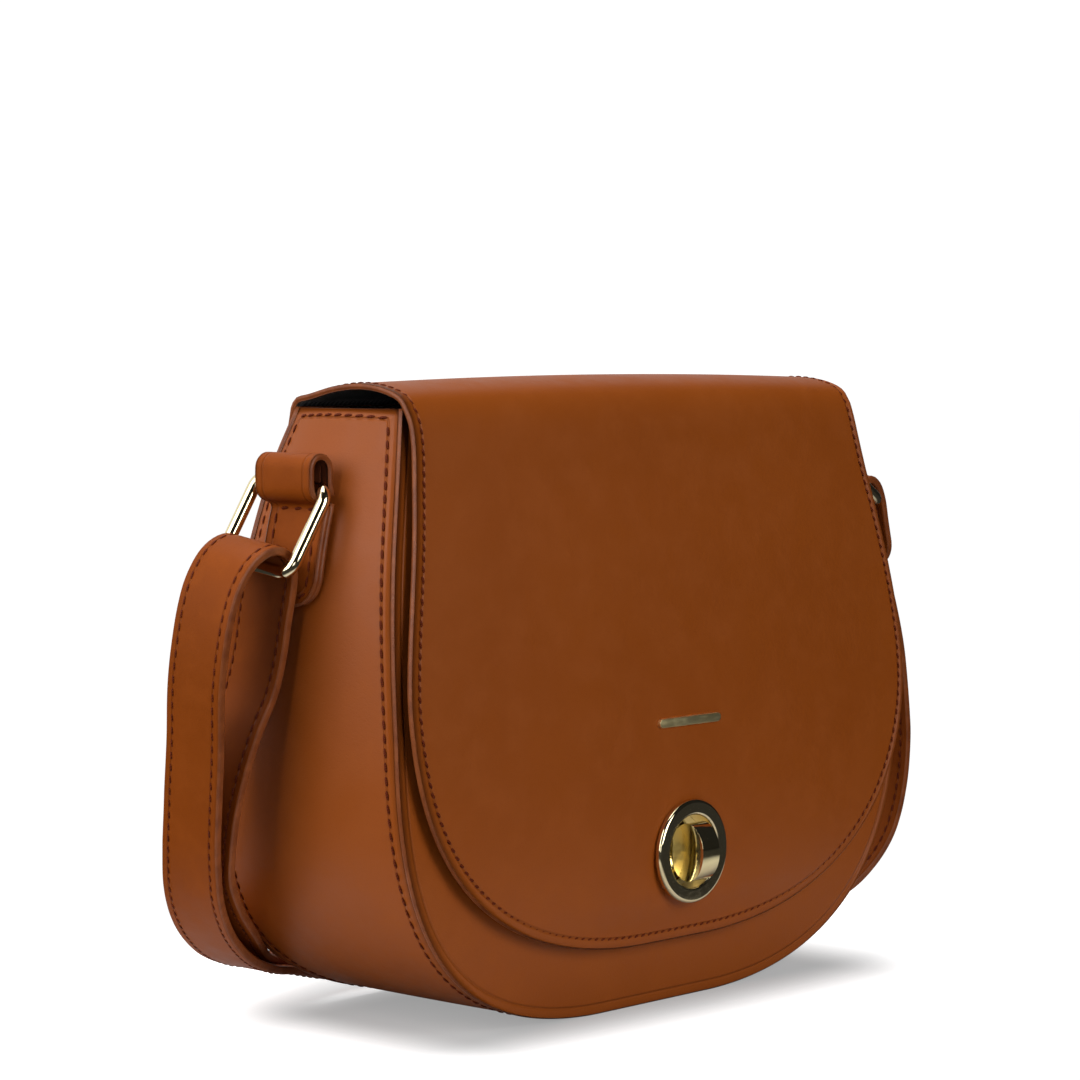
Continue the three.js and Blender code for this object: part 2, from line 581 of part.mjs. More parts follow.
add('strap_tab_left', tabBody(-1), TAN);
add('strap_tab_right', tabBody(1), TAN);
add('ring_left', ringBody(RING_LEFT), GOLD);
add('ring_right', ringBody(RING_RIGHT), GOLD);
add('strap_buckle', buckleBody(), GOLD);

const strap = toManifold(strapSolid());
const reach = (ring, radius) => toManifold(hingeCylinder(ring, radius));
const runs = strap
  .subtract(reach(RING_LEFT, FOLD_REACH + GAP))
  .subtract(reach(RING_RIGHT, FOLD_REACH + GAP))
  .decompose()
  .sort((a, b) => b.volume() - a.volume());
['strap_main', 'strap_doubled_run', 'strap_end'].forEach((name, i) => add(name, fromManifold(runs[i]), TAN));
add('strap_fold_left', fromManifold(strap.intersect(reach(RING_LEFT, FOLD_REACH))), EDGE);
add('strap_fold_right', fromManifold(strap.intersect(reach(RING_RIGHT, FOLD_REACH))), EDGE);

export default bag;
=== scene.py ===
"""Leather sling bag: the visual pieces round the CAD frame. Shapes are worked in millimetres."""
import math

import bmesh
import bpy
import numpy as np
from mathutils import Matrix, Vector
from mathutils.geometry import tessellate_polygon


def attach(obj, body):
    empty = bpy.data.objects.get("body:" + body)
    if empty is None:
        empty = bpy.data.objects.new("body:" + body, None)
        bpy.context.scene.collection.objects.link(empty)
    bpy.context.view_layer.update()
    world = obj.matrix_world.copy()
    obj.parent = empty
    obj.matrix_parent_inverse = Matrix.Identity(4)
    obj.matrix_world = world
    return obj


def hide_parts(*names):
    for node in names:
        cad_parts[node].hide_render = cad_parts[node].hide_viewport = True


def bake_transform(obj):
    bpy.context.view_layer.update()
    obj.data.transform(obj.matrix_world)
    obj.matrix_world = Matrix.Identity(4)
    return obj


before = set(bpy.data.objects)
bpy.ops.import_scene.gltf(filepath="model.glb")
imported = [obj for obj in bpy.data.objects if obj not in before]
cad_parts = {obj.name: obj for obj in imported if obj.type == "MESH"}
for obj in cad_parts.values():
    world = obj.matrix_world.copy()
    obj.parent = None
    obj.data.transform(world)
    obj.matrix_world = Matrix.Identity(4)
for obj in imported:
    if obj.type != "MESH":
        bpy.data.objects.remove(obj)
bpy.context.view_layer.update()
scene = bpy.context.scene
MM = 0.001

# ---------------- camera
CAMERA_AT = (-0.8444, -0.7573, 0.2198)
CAMERA_YAW = 47.415
CAMERA_PITCH = -3.458
CAMERA_LENS = 113.06

camera_data = bpy.data.cameras.new("camera")
camera_data.sensor_width = 36
camera_data.lens = CAMERA_LENS
camera = bpy.data.objects.new("camera", camera_data)
camera.location = CAMERA_AT
camera.rotation_euler = (math.radians(90 + CAMERA_PITCH), 0, math.radians(-CAMERA_YAW))
scene.collection.objects.link(camera)
scene.camera = camera

# ---------------- dimensions, as in the CAD except where a comment says otherwise
GAP = 0.3
LEATHER = 1.6
LINING_CLOTH = 0.6
SEAM = 3.0  # distance of a row of stitches from the leather's edge
OUTLINE_STEP = 2.5

TOP = 197.0
FLAT_HALF = 26.0
WIDEST = 125.0
WIDEST_Z = 94.2

FLAP_THICK = 1.8  # leather and lining as one sheet
FLAP_CROWN = 3.7
FLAP_BOTTOM = 22.0
FLAP_TOP_HALF = 110.2
FLAP_WIDEST = 123
FLAP_WIDEST_Z = 107
TAIL_FOOT = 158
TAIL_OFF_BACK = GAP + 1.6

LOCK_Z = 51.4
SLOT_CAP, SLOT_RADIUS = 5.2, 5.3
BADGE_Z = 94.3

STRAP_WIDTH = 24.0
STRAP_THICK = 2.8  # the strap itself; the CAD's is an envelope round it
STRAP_BACK_Y = 68.0
BUCKLE_X, BUCKLE_Z, BUCKLE_BAR, BUCKLE_REACH = 18.0, 10.9, 3.0, 14.0

TAB_Y, TAB_BOTTOM, TAB_CORNER = 4.5, 137.0, 9.0
TAB_COVER, TAB_UNDER = 1.9, 1.7
EYE_RADIUS = 4.9
RING_X, RING_Z = 127.5, 174.5
RING_WIDTH, RING_DROP, RING_CORNER, RING_WIRE = 31.0, 28.4, 4.5, 2.1
LEFT_RING_ROLL, LEFT_RING_SWING = 8.2, 27.2
RIGHT_RING_ROLL, RIGHT_RING_SWING = 0, 57


# ---------------- curves
def profile(knots):
    """Smooth curve through (at, value) knots, flat beyond its ends."""
    at = [k[0] for k in knots]
    value = [k[1] for k in knots]
    last = len(knots) - 1
    slope = []
    for i in range(len(knots)):
        a, b = max(i - 1, 0), min(i + 1, last)
        slope.append((value[b] - value[a]) / (at[b] - at[a]))

    def read(x):
        if x <= at[0]:
            return value[0]
        if x >= at[last]:
            return value[last]
        i = max(k for k in range(last) if at[k] <= x)
        span = at[i + 1] - at[i]
        t = (x - at[i]) / span
        return (
            (2 * t**3 - 3 * t**2 + 1) * value[i]
            + (t**3 - 2 * t**2 + t) * span * slope[i]
            + (3 * t**2 - 2 * t**3) * value[i + 1]
            + (t**3 - t**2) * span * slope[i + 1]
        )

    return read


def bezier(p0, p1, p2, p3, count):
    """Points of a cubic Bezier curve."""
    t = np.linspace(0, 1, count)[:, None]
    p0, p1, p2, p3 = (np.array(p, float) for p in (p0, p1, p2, p3))
    return (1 - t) ** 3 * p0 + 3 * t * (1 - t) ** 2 * p1 + 3 * t**2 * (1 - t) * p2 + t**3 * p3


def spline(points, per_span):
    """Centripetal Catmull-Rom curve through the points."""
    p = [np.array(q, float) for q in points]
    p = [2 * p[0] - p[1]] + p + [2 * p[-1] - p[-2]]
    out = []
    for i in range(1, len(p) - 2):
        a, b, c, d = p[i - 1 : i + 3]
        t0 = 0.0
        t1 = t0 + max(np.linalg.norm(b - a), 1e-6) ** 0.5
        t2 = t1 + max(np.linalg.norm(c - b), 1e-6) ** 0.5
        t3 = t2 + max(np.linalg.norm(d - c), 1e-6) ** 0.5
        for t in np.linspace(t1, t2, per_span, endpoint=False):
            a1 = (t1 - t) / (t1 - t0) * a + (t - t0) / (t1 - t0) * b
            a2 = (t2 - t) / (t2 - t1) * b + (t - t1) / (t2 - t1) * c
            a3 = (t3 - t) / (t3 - t2) * c + (t - t2) / (t3 - t2) * d
            b1 = (t2 - t) / (t2 - t0) * a1 + (t - t0) / (t2 - t0) * a2
            b2 = (t3 - t) / (t3 - t1) * a2 + (t - t1) / (t3 - t1) * a3
            out.append((t2 - t) / (t2 - t1) * b1 + (t - t1) / (t2 - t1) * b2)
    out.append(p[-2])
    return np.array(out)


def evenly(points, step):
    """The same line with points a step apart, or as near as divides it evenly."""
    points = np.array(points, float)
    run = run_of(points)
    count = max(int(round(run[-1] / step)), 1)
    at = np.linspace(0, run[-1], count + 1)
    return np.stack([np.interp(at, run, points[:, k]) for k in range(points.shape[1])], axis=1)


# Depths of the panels, bulge of the gusset and the flap's stand-off, each at a height.
front_depth = profile([(0, 33.2), (25, 36.1), (50, 37.8), (75, 38.4), (100, 37.7), (150, 33.1), (TOP, 24.5)])
rear_depth = profile([(0, 46.5), (24, 50.6), (60, 46), (100, 40.5), (155, 32.7), (180, 28.6), (TOP, 22.9)])
gusset_bulge = profile([(0, 0), (20, 0.8), (60, 3.5), (110, 4.5), (180, 4.5), (TOP, 3.5)])
flap_gap = profile([(FLAP_BOTTOM, 5.7), (100, 5.1), (170, 4.5), (185, 4.8), (192, 4.6), (TOP, 3.6)])
# Height of the flap's crown, by how far along the flap it is from the hinge to the front edge.
flap_crown = profile([(0, 0), (0.1, 1.6), (0.3, 2.4), (0.5, FLAP_CROWN), (0.85, FLAP_CROWN), (1, 2.5)])
# Half width of the flap's tail at a height.
tail_half = profile([(TAIL_FOOT, 90), (160, 96), (164, 101), (170, 104.5), (180, 107), (TOP, 109.4)])


def front_y(z):
    return -front_depth(z)


def flap_y(z):
    return front_y(z) - flap_gap(z)


def tail_y(z):
    return rear_depth(z) + TAIL_OFF_BACK


def along_line(line):
    """Unit direction of a line at each of its points."""
    along = np.gradient(line, axis=0)
    return along / np.linalg.norm(along, axis=1)[:, None]


def run_of(line):
    """Length of a line up to each of its points."""
    return np.concatenate([[0], np.cumsum(np.linalg.norm(np.diff(line, axis=0), axis=1))])


def half_outline(inset=0.0, step=OUTLINE_STEP):
    """Right half of the panels' outline as rows (x, z, nx, nz), from the base up to the rim."""
    lower = bezier((FLAT_HALF, 0), (116, 0), (WIDEST, 57.5), (WIDEST, WIDEST_Z), 200)
    upper = bezier((WIDEST, WIDEST_Z), (WIDEST, 149.6), (119.3, 156.1), (109.2, TOP), 200)
    line = evenly(np.concatenate([lower, upper[1:]]), step)
    along = along_line(line)
    out = np.stack([along[:, 1], -along[:, 0]], axis=1)
    out[0] = (0, -1)
    moved = line - inset * out
    moved[-1, 1] = TOP
    return np.concatenate([moved, out], axis=1)


# ---------------- meshes
def grid_normals(p, tangent=None):
    """Unit normals of a grid of points, pointing to the side of du x dv. tangent gives du for each row."""
    du = np.gradient(p, axis=0) if tangent is None else tangent[:, None, :]
    dv = np.gradient(p, axis=1)
    n = np.cross(du, dv)
    return n / np.maximum(np.linalg.norm(n, axis=2), 1e-9)[:, :, None]


class Build:
    """Collects vertices, faces, material numbers and each vertex's distance from an edge."""

    def __init__(self):
        self.points, self.edge, self.faces, self.kind = [], [], [], []

    def vertices(self, points, edge):
        """Adds points with their edge distances and returns the first one's number."""
        start = len(self.points)
        self.points.extend(map(tuple, points))
        self.edge.extend(edge)
        return start

    def face(self, corners, kind):
        self.faces.append(corners)
        self.kind.append(kind)

    def band(self, a, b, count, kind):
        """Faces between two closed rings of vertices that start at a and b."""
        for k in range(count):
            m = (k + 1) % count
            self.face([a + k, a + m, b + m, b + k], kind)

    def object(self, name, materials):
        mesh = bpy.data.meshes.new(name)
        mesh.from_pydata([tuple(c * MM for c in p) for p in self.points], [], self.faces)
        for m in materials:
            mesh.materials.append(m)
        mesh.polygons.foreach_set("material_index", self.kind)
        mesh.polygons.foreach_set("use_smooth", [True] * len(self.faces))
        attribute = mesh.attributes.new("edge_mm", "FLOAT", "POINT")
        attribute.data.foreach_set("value", [float(e) for e in self.edge])
        mesh.validate()
        mesh.update()
        obj = bpy.data.objects.new(name, mesh)
        scene.collection.objects.link(obj)
        return obj


FACE, EDGE, BACK, THREAD = range(4)
INSIDE = 9.0  # an edge distance that is clear of every seam and edge
FARTHEST = 30.0  # larger edge distances look the same, so they are cut to this


def loop_distance(points, loop):
    """Least distance from each point to a closed line."""
    a = loop
    d = np.roll(loop, -1, axis=0) - a
    length = np.maximum((d * d).sum(axis=1), 1e-12)
    out = np.empty(len(points))
    for i, p in enumerate(points):
        t = np.clip(((p - a) * d).sum(axis=1) / length, 0, 1)
        out[i] = np.sqrt((((a + t[:, None] * d) - p) ** 2).sum(axis=1).min())
    return out


def leather_sheet(build, outer, thick, round_out, flip, holes=(), tangent=None):
    """A thick sheet with a rounded edge all round.

    outer is a grid of points, and the thickness runs inward from it. flip turns inward round. holes are
    (x, z, radius) seen from the front.
    """
    normal = grid_normals(outer, tangent) * (-1 if flip else 1)
    inner = outer - normal * thick
    rows, cols = outer.shape[:2]
    ring = (
        [(i, 0) for i in range(rows)]
        + [(rows - 1, j) for j in range(1, cols)]
        + [(i, cols - 1) for i in range(rows - 2, -1, -1)]
        + [(0, j) for j in range(cols - 2, 0, -1)]
    )
    border = np.array([outer[i, j] for i, j in ring])
    edge = np.minimum(loop_distance(outer.reshape(-1, 3), border), FARTHEST)
    first = build.vertices(outer.reshape(-1, 3), edge)
    second = build.vertices(inner.reshape(-1, 3), edge)

    def hidden(i, j):
        middle = (outer[i, j] + outer[i + 1, j + 1]) / 2
        return any(math.hypot(middle[0] - hx, middle[2] - hz) < r for hx, hz, r in holes)

    for i in range(rows - 1):
        for j in range(cols - 1):
            if hidden(i, j):
                continue
            a, b, c, d = i * cols + j, i * cols + j + 1, (i + 1) * cols + j + 1, (i + 1) * cols + j
            q = (a, d, c, b) if not flip else (a, b, c, d)
            build.face([first + k for k in q], FACE)
            build.face([second + k for k in reversed(q)], BACK)
    along = np.roll(border, -1, axis=0) - np.roll(border, 1, axis=0)
    n_ring = np.array([normal[i, j] for i, j in ring])
    out = np.cross(along, n_ring)
    out /= np.maximum(np.linalg.norm(out, axis=1), 1e-9)[:, None]
    centre = outer.reshape(-1, 3).mean(axis=0)
    if ((border - centre) * out).sum() < 0:
        out = -out
    middle = border - n_ring * thick / 2
    loops = [[first + i * cols + j for i, j in ring]]
    for turn in (0.3, 0.7):
        angle = math.pi * turn
        shift = n_ring * (thick / 2 * math.cos(angle)) + out * (thick / 2 * round_out * math.sin(angle))
        start = build.vertices(middle + shift, [0] * len(ring))
        loops.append([start + k for k in range(len(ring))])
    loops.append([second + i * cols + j for i, j in ring])
    for a, b in zip(loops, loops[1:]):
        for k in range(len(ring)):
            m = (k + 1) % len(ring)
            quad = [a[k], b[k], b[m], a[m]]
            build.face(quad if flip else quad[::-1], EDGE)
    return normal


def smoothed(path, lie, step=1.5, passes=6):
    """The line and its normals resampled a step apart, with small kinks evened out."""
    both = evenly(np.concatenate([path, lie], axis=1), step)
    for _ in range(passes):
        both[1:-1] = (both[:-2] + 2 * both[1:-1] + both[2:]) / 4
    return both[:, :3], both[:, 3:]


STITCH_SECTIONS = [(-0.5, 0.35, -0.2), (-0.3, 0.85, 0.03), (0, 1, 0.08), (0.3, 0.85, 0.03), (0.5, 0.35, -0.2)]
STITCH_SIDES = 6
STITCH_SHARE = 0.74


def stitches(build, path, normals, pitch, radius=0.5, lift=0.1, slant=0.12):
    """A row of thread: one short rounded lozenge for each stitch, half sunk in the leather."""
    path = np.array(path, float)
    run = run_of(path)
    count = int(run[-1] / pitch)
    length = pitch * STITCH_SHARE

    def read(table, at):
        return np.array([np.interp(at, run, table[:, c]) for c in range(3)])

    for k in range(count):
        at = (k + 0.5) * run[-1] / count
        p = read(path, at)
        ahead = read(path, at + 0.3) - read(path, at - 0.3)
        n = read(normals, at)
        n /= np.linalg.norm(n)
        along = ahead / max(np.linalg.norm(ahead), 1e-9)
        along = along * math.cos(slant) + np.cross(n, along) * math.sin(slant)
        side = np.cross(n, along)
        rings = []
        for s, scale, rise in STITCH_SECTIONS:
            centre = p + along * (s * length) + n * (lift + rise)
            r = radius * scale
            corners = [
                centre + side * (r * math.cos(t)) + n * (r * 0.6 * math.sin(t))
                for t in np.linspace(0, 2 * math.pi, STITCH_SIDES, endpoint=False)
            ]
            rings.append(build.vertices(corners, [INSIDE] * STITCH_SIDES))
        for a, b in zip(rings, rings[1:]):
            build.band(a, b, STITCH_SIDES, THREAD)
        build.face([rings[0] + m for m in reversed(range(STITCH_SIDES))], THREAD)
        build.face([rings[-1] + m for m in range(STITCH_SIDES)], THREAD)


def lathe(build, outline, centre, segments):
    """Turned piece about a line along Y. outline is a closed list of (radius, y)."""
    turns = [2 * math.pi * k / segments for k in range(segments)]
    starts = []
    for r, y in outline:
        ring = [(centre[0] + r * math.cos(t), y, centre[1] + r * math.sin(t)) for t in turns]
        starts.append(build.vertices(ring, [INSIDE] * segments))
    for a, b in zip(starts, starts[1:] + starts[:1]):
        build.band(a, b, segments, FACE)


def recalc(obj):
    """Points every face outward."""
    bm = bmesh.new()
    bm.from_mesh(obj.data)
    bmesh.ops.remove_doubles(bm, verts=bm.verts, dist=1e-7)
    bmesh.ops.recalc_face_normals(bm, faces=bm.faces)
    bm.to_mesh(obj.data)
    bm.free()
    return obj


# ---------------- materials
class Nodes:
    """Small helper that adds and links shader nodes."""

    def __init__(self, name):
        self.material = bpy.data.materials.new(name)
        self.material.use_nodes = True
        self.tree = self.material.node_tree
        self.shader = next(n for n in self.tree.nodes if n.type == "BSDF_PRINCIPLED")

    def feed(self, socket, value):
        """Links a node's output to a socket, or sets the socket's own value. Colours come without alpha."""
        if isinstance(value, bpy.types.NodeSocket):
            self.tree.links.new(value, socket)
        elif isinstance(value, tuple) and len(socket.default_value) == 4:
            socket.default_value = (*value, 1)
        else:
            socket.default_value = value

    def add(self, kind, inputs, **settings):
        """Adds a node; an input that is None is left as it is."""
        node = self.tree.nodes.new(kind)
        for key, value in settings.items():
            setattr(node, key, value)
        for key, value in inputs.items():
            if value is not None:
                self.feed(node.inputs[key], value)
        return node

    def coords(self):
        return self.add("ShaderNodeTexCoord", {}).outputs["Object"]

    def noise(self, scale, detail=4.0, roughness=0.55, distortion=0.0, stretch=None):
        vector = self.coords()
        if stretch:
            vector = self.add("ShaderNodeMapping", {"Vector": vector, "Scale": stretch}).outputs["Vector"]
        inputs = {"Vector": vector, "Scale": scale, "Detail": detail}
        inputs.update({"Roughness": roughness, "Distortion": distortion})
        return self.add("ShaderNodeTexNoise", inputs).outputs["Fac"]

    def voronoi(self, scale):
        """Distance to the nearest cell centre."""
        inputs = {"Vector": self.coords(), "Scale": scale}
        return self.add("ShaderNodeTexVoronoi", inputs, feature="F1").outputs["Distance"]

    def wave(self, scale, distortion=0.0):
        """Fine diagonal bands."""
        inputs = {"Vector": self.coords(), "Scale": scale, "Distortion": distortion}
        node = self.add("ShaderNodeTexWave", inputs, wave_type="BANDS", bands_direction="DIAGONAL")
        return node.outputs["Fac"]

    def ranged(self, value, low, high, to_low, to_high):
        """value taken smoothly from low..high to to_low..to_high, and held beyond them."""
        inputs = {"Value": value, "From Min": low, "From Max": high, "To Min": to_low, "To Max": to_high}
        return self.add("ShaderNodeMapRange", inputs, interpolation_type="SMOOTHSTEP").outputs["Result"]

    def math(self, kind, a, b=None):
        return self.add("ShaderNodeMath", {0: a, 1: b}, operation=kind).outputs[0]

    def mix(self, factor, a, b):
        return self.add("ShaderNodeMix", {0: factor, 6: a, 7: b}, data_type="RGBA").outputs[2]

    def bump(self, height, strength, distance, onto=None):
        inputs = {"Height": height, "Strength": strength, "Distance": distance, "Normal": onto}
        return self.add("ShaderNodeBump", inputs).outputs["Normal"]

    def set(self, **values):
        for key, value in values.items():
            self.feed(self.shader.inputs[key.replace("_", " ")], value)


def leather(name, base, deep, light, roughness=0.5, specular=0.2):
    """Smooth finished leather: mottled dye, fine pores, soft creases, a pressed line along each seam with
    painted shade darkening it.
    """
    n = Nodes(name)
    cloud = n.noise(14, 3)
    mottle = n.noise(95, 5, 0.6)
    pores = n.voronoi(1250)
    creases = n.noise(420, 6, 0.7, 0.6)
    tone = n.mix(n.ranged(cloud, 0.35, 0.65, 0, 1), deep, base)
    tone = n.mix(n.ranged(mottle, 0.42, 0.75, 0, 0.5), tone, light)
    edge = n.add("ShaderNodeAttribute", {}, attribute_name="edge_mm").outputs["Fac"]
    from_seam = n.math("ABSOLUTE", n.math("SUBTRACT", edge, SEAM))
    seam_press_and_shade = n.ranged(from_seam, 0.0, 0.7, 1, 0)
    burnish = n.ranged(edge, 0.0, 1.8, 0.8, 0)
    # painted shade: the colour is darkened along the pressed line of each seam
    shade = n.mix(n.math("MULTIPLY", seam_press_and_shade, 0.2), tone, tuple(c * 0.5 for c in deep))
    shade = n.mix(n.math("MULTIPLY", burnish, 0.45), shade, tuple(c * 0.62 for c in deep))
    pore_dark = n.ranged(pores, 0.0, 0.32, 0.18, 0)
    shade = n.mix(pore_dark, shade, tuple(c * 0.45 for c in deep))
    gloss = n.ranged(mottle, 0.3, 0.8, roughness - 0.05, roughness + 0.07)
    fine = n.bump(n.ranged(pores, 0.0, 0.5, 0, 1), 0.10, 0.0002)
    coarse = n.bump(creases, 0.12, 0.0004, fine)
    pressed = n.bump(n.math("MULTIPLY", seam_press_and_shade, -1.0), 0.6, 0.0006, coarse)
    n.set(Base_Color=shade, Roughness=gloss, Normal=pressed, Specular_IOR_Level=specular)
    return n.material


def edge_paint(name, base, light):
    """Painted cut edge: glossier, slightly uneven along its length."""
    n = Nodes(name)
    wave = n.noise(180, 4)
    grain = n.noise(1500, 3)
    colour = n.mix(n.ranged(wave, 0.3, 0.7, 0, 1), base, light)
    n.set(
        Base_Color=colour,
        Roughness=n.ranged(grain, 0.3, 0.7, 0.34, 0.5),
        Normal=n.bump(n.math("ADD", wave, grain), 0.2, 0.0004),
        Specular_IOR_Level=0.25,
    )
    return n.material


def twill(name, base, light):
    """Woven lining with a fine diagonal rib."""
    n = Nodes(name)
    rib = n.wave(320, 0.4)
    thread = n.noise(2200, 2)
    slub = n.noise(60, 4)
    tone = n.mix(n.ranged(rib, 0.2, 0.8, 0, 1), base, light)
    tone = n.mix(n.ranged(slub, 0.3, 0.8, 0, 0.5), tone, base)
    n.set(
        Base_Color=tone,
        Roughness=n.ranged(thread, 0.2, 0.8, 0.75, 0.95),
        Normal=n.bump(n.math("ADD", rib, thread), 0.5, 0.0003),
        Specular_IOR_Level=0.25,
        Sheen_Weight=0.25,
    )
    return n.material


def thread(name, base, light):
    """Waxed sewing thread with its twist."""
    n = Nodes(name)
    twist = n.wave(900)
    n.set(
        Base_Color=n.mix(twist, base, light),
        Roughness=n.ranged(n.noise(900, 3), 0.2, 0.8, 0.5, 0.7),
        Normal=n.bump(twist, 0.4, 0.0003),
        Specular_IOR_Level=0.08,
    )
    return n.material


def plated(name, base, warm, roughness):
    """Polished plated metal: faint haze, hairline scratches and a slight tone change."""
    n = Nodes(name)
    haze = n.noise(70, 4)
    scratches = n.noise(300, 6, 0.5, stretch=(1, 14, 3))
    n.set(
        Base_Color=n.mix(n.ranged(haze, 0.3, 0.7, 0, 1), base, warm),
        Metallic=1.0,
        Roughness=n.ranged(scratches, 0.35, 0.75, roughness, roughness + 0.09),
        Normal=n.bump(scratches, 0.03, 0.0001),
    )
    return n.material


BODY = leather(
    "leather_body", base=(0.262, 0.058, 0.0046), deep=(0.248, 0.054, 0.004), light=(0.28, 0.064, 0.0056)
)
STRAP_SKIN = leather(
    "leather_strap", base=(0.225, 0.048, 0.0045), deep=(0.2, 0.042, 0.0035), light=(0.25, 0.056, 0.006),
    specular=0.05,
)
SUEDE = leather(
    "leather_reverse", base=(0.15, 0.035, 0.01), deep=(0.12, 0.026, 0.007), light=(0.18, 0.05, 0.016),
    roughness=0.85,
)
EDGE_PAINT = edge_paint("edge_paint", base=(0.15, 0.036, 0.008), light=(0.22, 0.058, 0.014))
LINING = twill("lining_twill", base=(0.006, 0.006, 0.008), light=(0.02, 0.02, 0.025))
YARN = thread("stitch_thread", base=(0.06, 0.008, 0.002), light=(0.14, 0.022, 0.005))
GOLD = plated("gold_plate", base=(0.8, 0.7, 0.46), warm=(0.76, 0.64, 0.38), roughness=0.05)
PALE_GOLD = plated("pale_gold_plate", base=(0.9, 0.8, 0.5), warm=(0.86, 0.74, 0.42), roughness=0.07)
SATIN_GOLD = plated("satin_gold_plate", base=(0.98, 0.85, 0.48), warm=(0.94, 0.78, 0.4), roughness=0.34)
STEEL = plated("bright_steel", base=(0.56, 0.56, 0.57), warm=(0.5, 0.5, 0.5), roughness=0.25)
# One material for each of FACE, EDGE, BACK and THREAD.
BODY_SET = [BODY, EDGE_PAINT, SUEDE, YARN]
FLAP_SET = [BODY, EDGE_PAINT, LINING, YARN]
TAB_SET = [STRAP_SKIN, EDGE_PAINT, SUEDE, YARN]
STRAP_SET = [STRAP_SKIN, EDGE_PAINT, STRAP_SKIN, YARN]
POCKET_SET = [LINING, EDGE_PAINT, LINING, YARN]


def bag_piece(name, build, materials, nodes):
    """Makes a piece that rides on the bag's body and stands for the CAD nodes."""
    obj = build.object(name, materials)
    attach(obj, "bag")
    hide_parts(*nodes)


# ---------------- body panels
def panel_grid(inset, depth_of, columns=61):
    """Grid of a panel inside the outline: rows from the base up, columns from left to right."""
    outline = half_outline(inset)
    u = np.linspace(-1, 1, columns)
    return np.array([[(k * x, depth_of(z), z) for k in u] for x, z, _, _ in outline])


def panel_tangent(inset, depth_of):
    """Upward direction of the panel at each row of its grid."""
    rows = half_outline(inset)[:, 1]
    return np.array([(0, depth_of(z + 0.5) - depth_of(z - 0.5), 1.0) for z in rows])


def panel_piece(name, depth_of, flip, nodes, holes=()):
    build = Build()
    leather_sheet(build, panel_grid(0, depth_of), LEATHER, 0.7, flip, holes, panel_tangent(0, depth_of))
    bag_piece(name, build, BODY_SET, nodes)


panel_piece("front_panel_skin", front_y, True, ["front_panel", "front_stiffener"], [(0, LOCK_Z, 3.5)])
panel_piece("back_panel_skin", rear_depth, False, ["back_panel", "back_stiffener"])


def wrap_grid(depth, edge, columns=33):
    """Grid of the strip round sides and base: rows from the left rim to the right rim."""
    right = half_outline(0)
    left = right[::-1] * np.array([-1, 1, -1, 1])
    rows = []
    v = np.linspace(-1, 1, columns)
    for x, z, nx, nz in np.concatenate([left, right]):
        front = front_y(z) + edge
        rear = rear_depth(z) - edge
        lift = gusset_bulge(z) * (1 - v * v) - depth
        y = front + (rear - front) * (v + 1) / 2
        line = np.stack([x + nx * lift, y, z + nz * lift], axis=1)
        if z > TOP - 0.1:
            line[:, 2] = TOP
        rows.append(line)
    return np.array(rows)


def across_row(grid, i, at):
    """Point of row i of a grid at a column number that needn't be whole."""
    k = int(at)
    f = at - k
    return grid[i, k] * (1 - f) + grid[i, k + 1] * f


def gusset_piece():
    build = Build()
    pitch = 4.3
    grid = wrap_grid(0, LEATHER + GAP)
    normal = leather_sheet(build, grid, LEATHER, 0.5, True)
    last = grid.shape[1] - 1
    width = np.linalg.norm(np.diff(grid, axis=1), axis=2).sum(axis=1)
    rows = range(2, len(grid) - 2)
    for from_rear in (False, True):
        columns = [last - SEAM / width[i] * last if from_rear else SEAM / width[i] * last for i in rows]
        path = [across_row(grid, i, at) for i, at in zip(rows, columns)]
        lie = np.array([normal[i, int(at)] for i, at in zip(rows, columns)])
        stitches(build, path, lie, pitch)
    for end, neighbour in ((0, 1), (-1, -2)):
        row = grid[end] + (grid[neighbour] - grid[end]) * (SEAM / OUTLINE_STEP)
        stitches(build, row[2:-2], normal[end][2:-2], pitch)
    bag_piece("gusset_skin", build, BODY_SET, ["gusset", "base_stiffener"])


gusset_piece()


# ---------------- lining and pocket
LINING_DEPTH = LEATHER + 0.8 + 2 * GAP
POCKET_HALF = 70


def front_cloth_y(z):
    return front_y(z) + LINING_DEPTH


def back_cloth_y(z):
    return rear_depth(z) - LINING_DEPTH


def lining_pieces():
    skin = LEATHER + GAP
    inside = skin + LINING_CLOTH + GAP
    front = panel_grid(inside, front_cloth_y)
    front_up = panel_tangent(inside, front_cloth_y)
    back = panel_grid(inside, back_cloth_y)
    back_up = panel_tangent(inside, back_cloth_y)
    layers = [
        ("front_lining_cloth", front, True, "front_lining", front_up),
        ("back_lining_cloth", back, False, "back_lining", back_up),
        ("gusset_lining_cloth", wrap_grid(skin, skin), True, "gusset_lining", None),
    ]
    for name, grid, flip, node, tangent in layers:
        build = Build()
        leather_sheet(build, grid, LINING_CLOTH, 0.5, flip, (), tangent)
        build.kind = [FACE] * len(build.kind)
        bag_piece(name, build, [LINING], [node])


def pocket_piece():
    """Slip pocket on the back lining; it stands off a little more in the middle."""
    build = Build()
    off_lining = 0.5 + 2 * LINING_CLOTH
    bulge = 1.2
    columns = np.linspace(-POCKET_HALF, POCKET_HALF, 41)
    stand_off = [off_lining + bulge * math.cos(x / POCKET_HALF * math.pi / 2) for x in columns]
    grid = np.array([
        [(x, back_cloth_y(z) - off, z) for x, off in zip(columns, stand_off)]
        for z in np.linspace(55, 135, 31)
    ])
    normal = leather_sheet(build, grid, LINING_CLOTH, 0.6, True)
    stitches(build, grid[-3], normal[-3], 3.2, radius=0.25)
    bag_piece("slip_pocket_cloth", build, POCKET_SET, ["inner_pocket"])


lining_pieces()
pocket_piece()


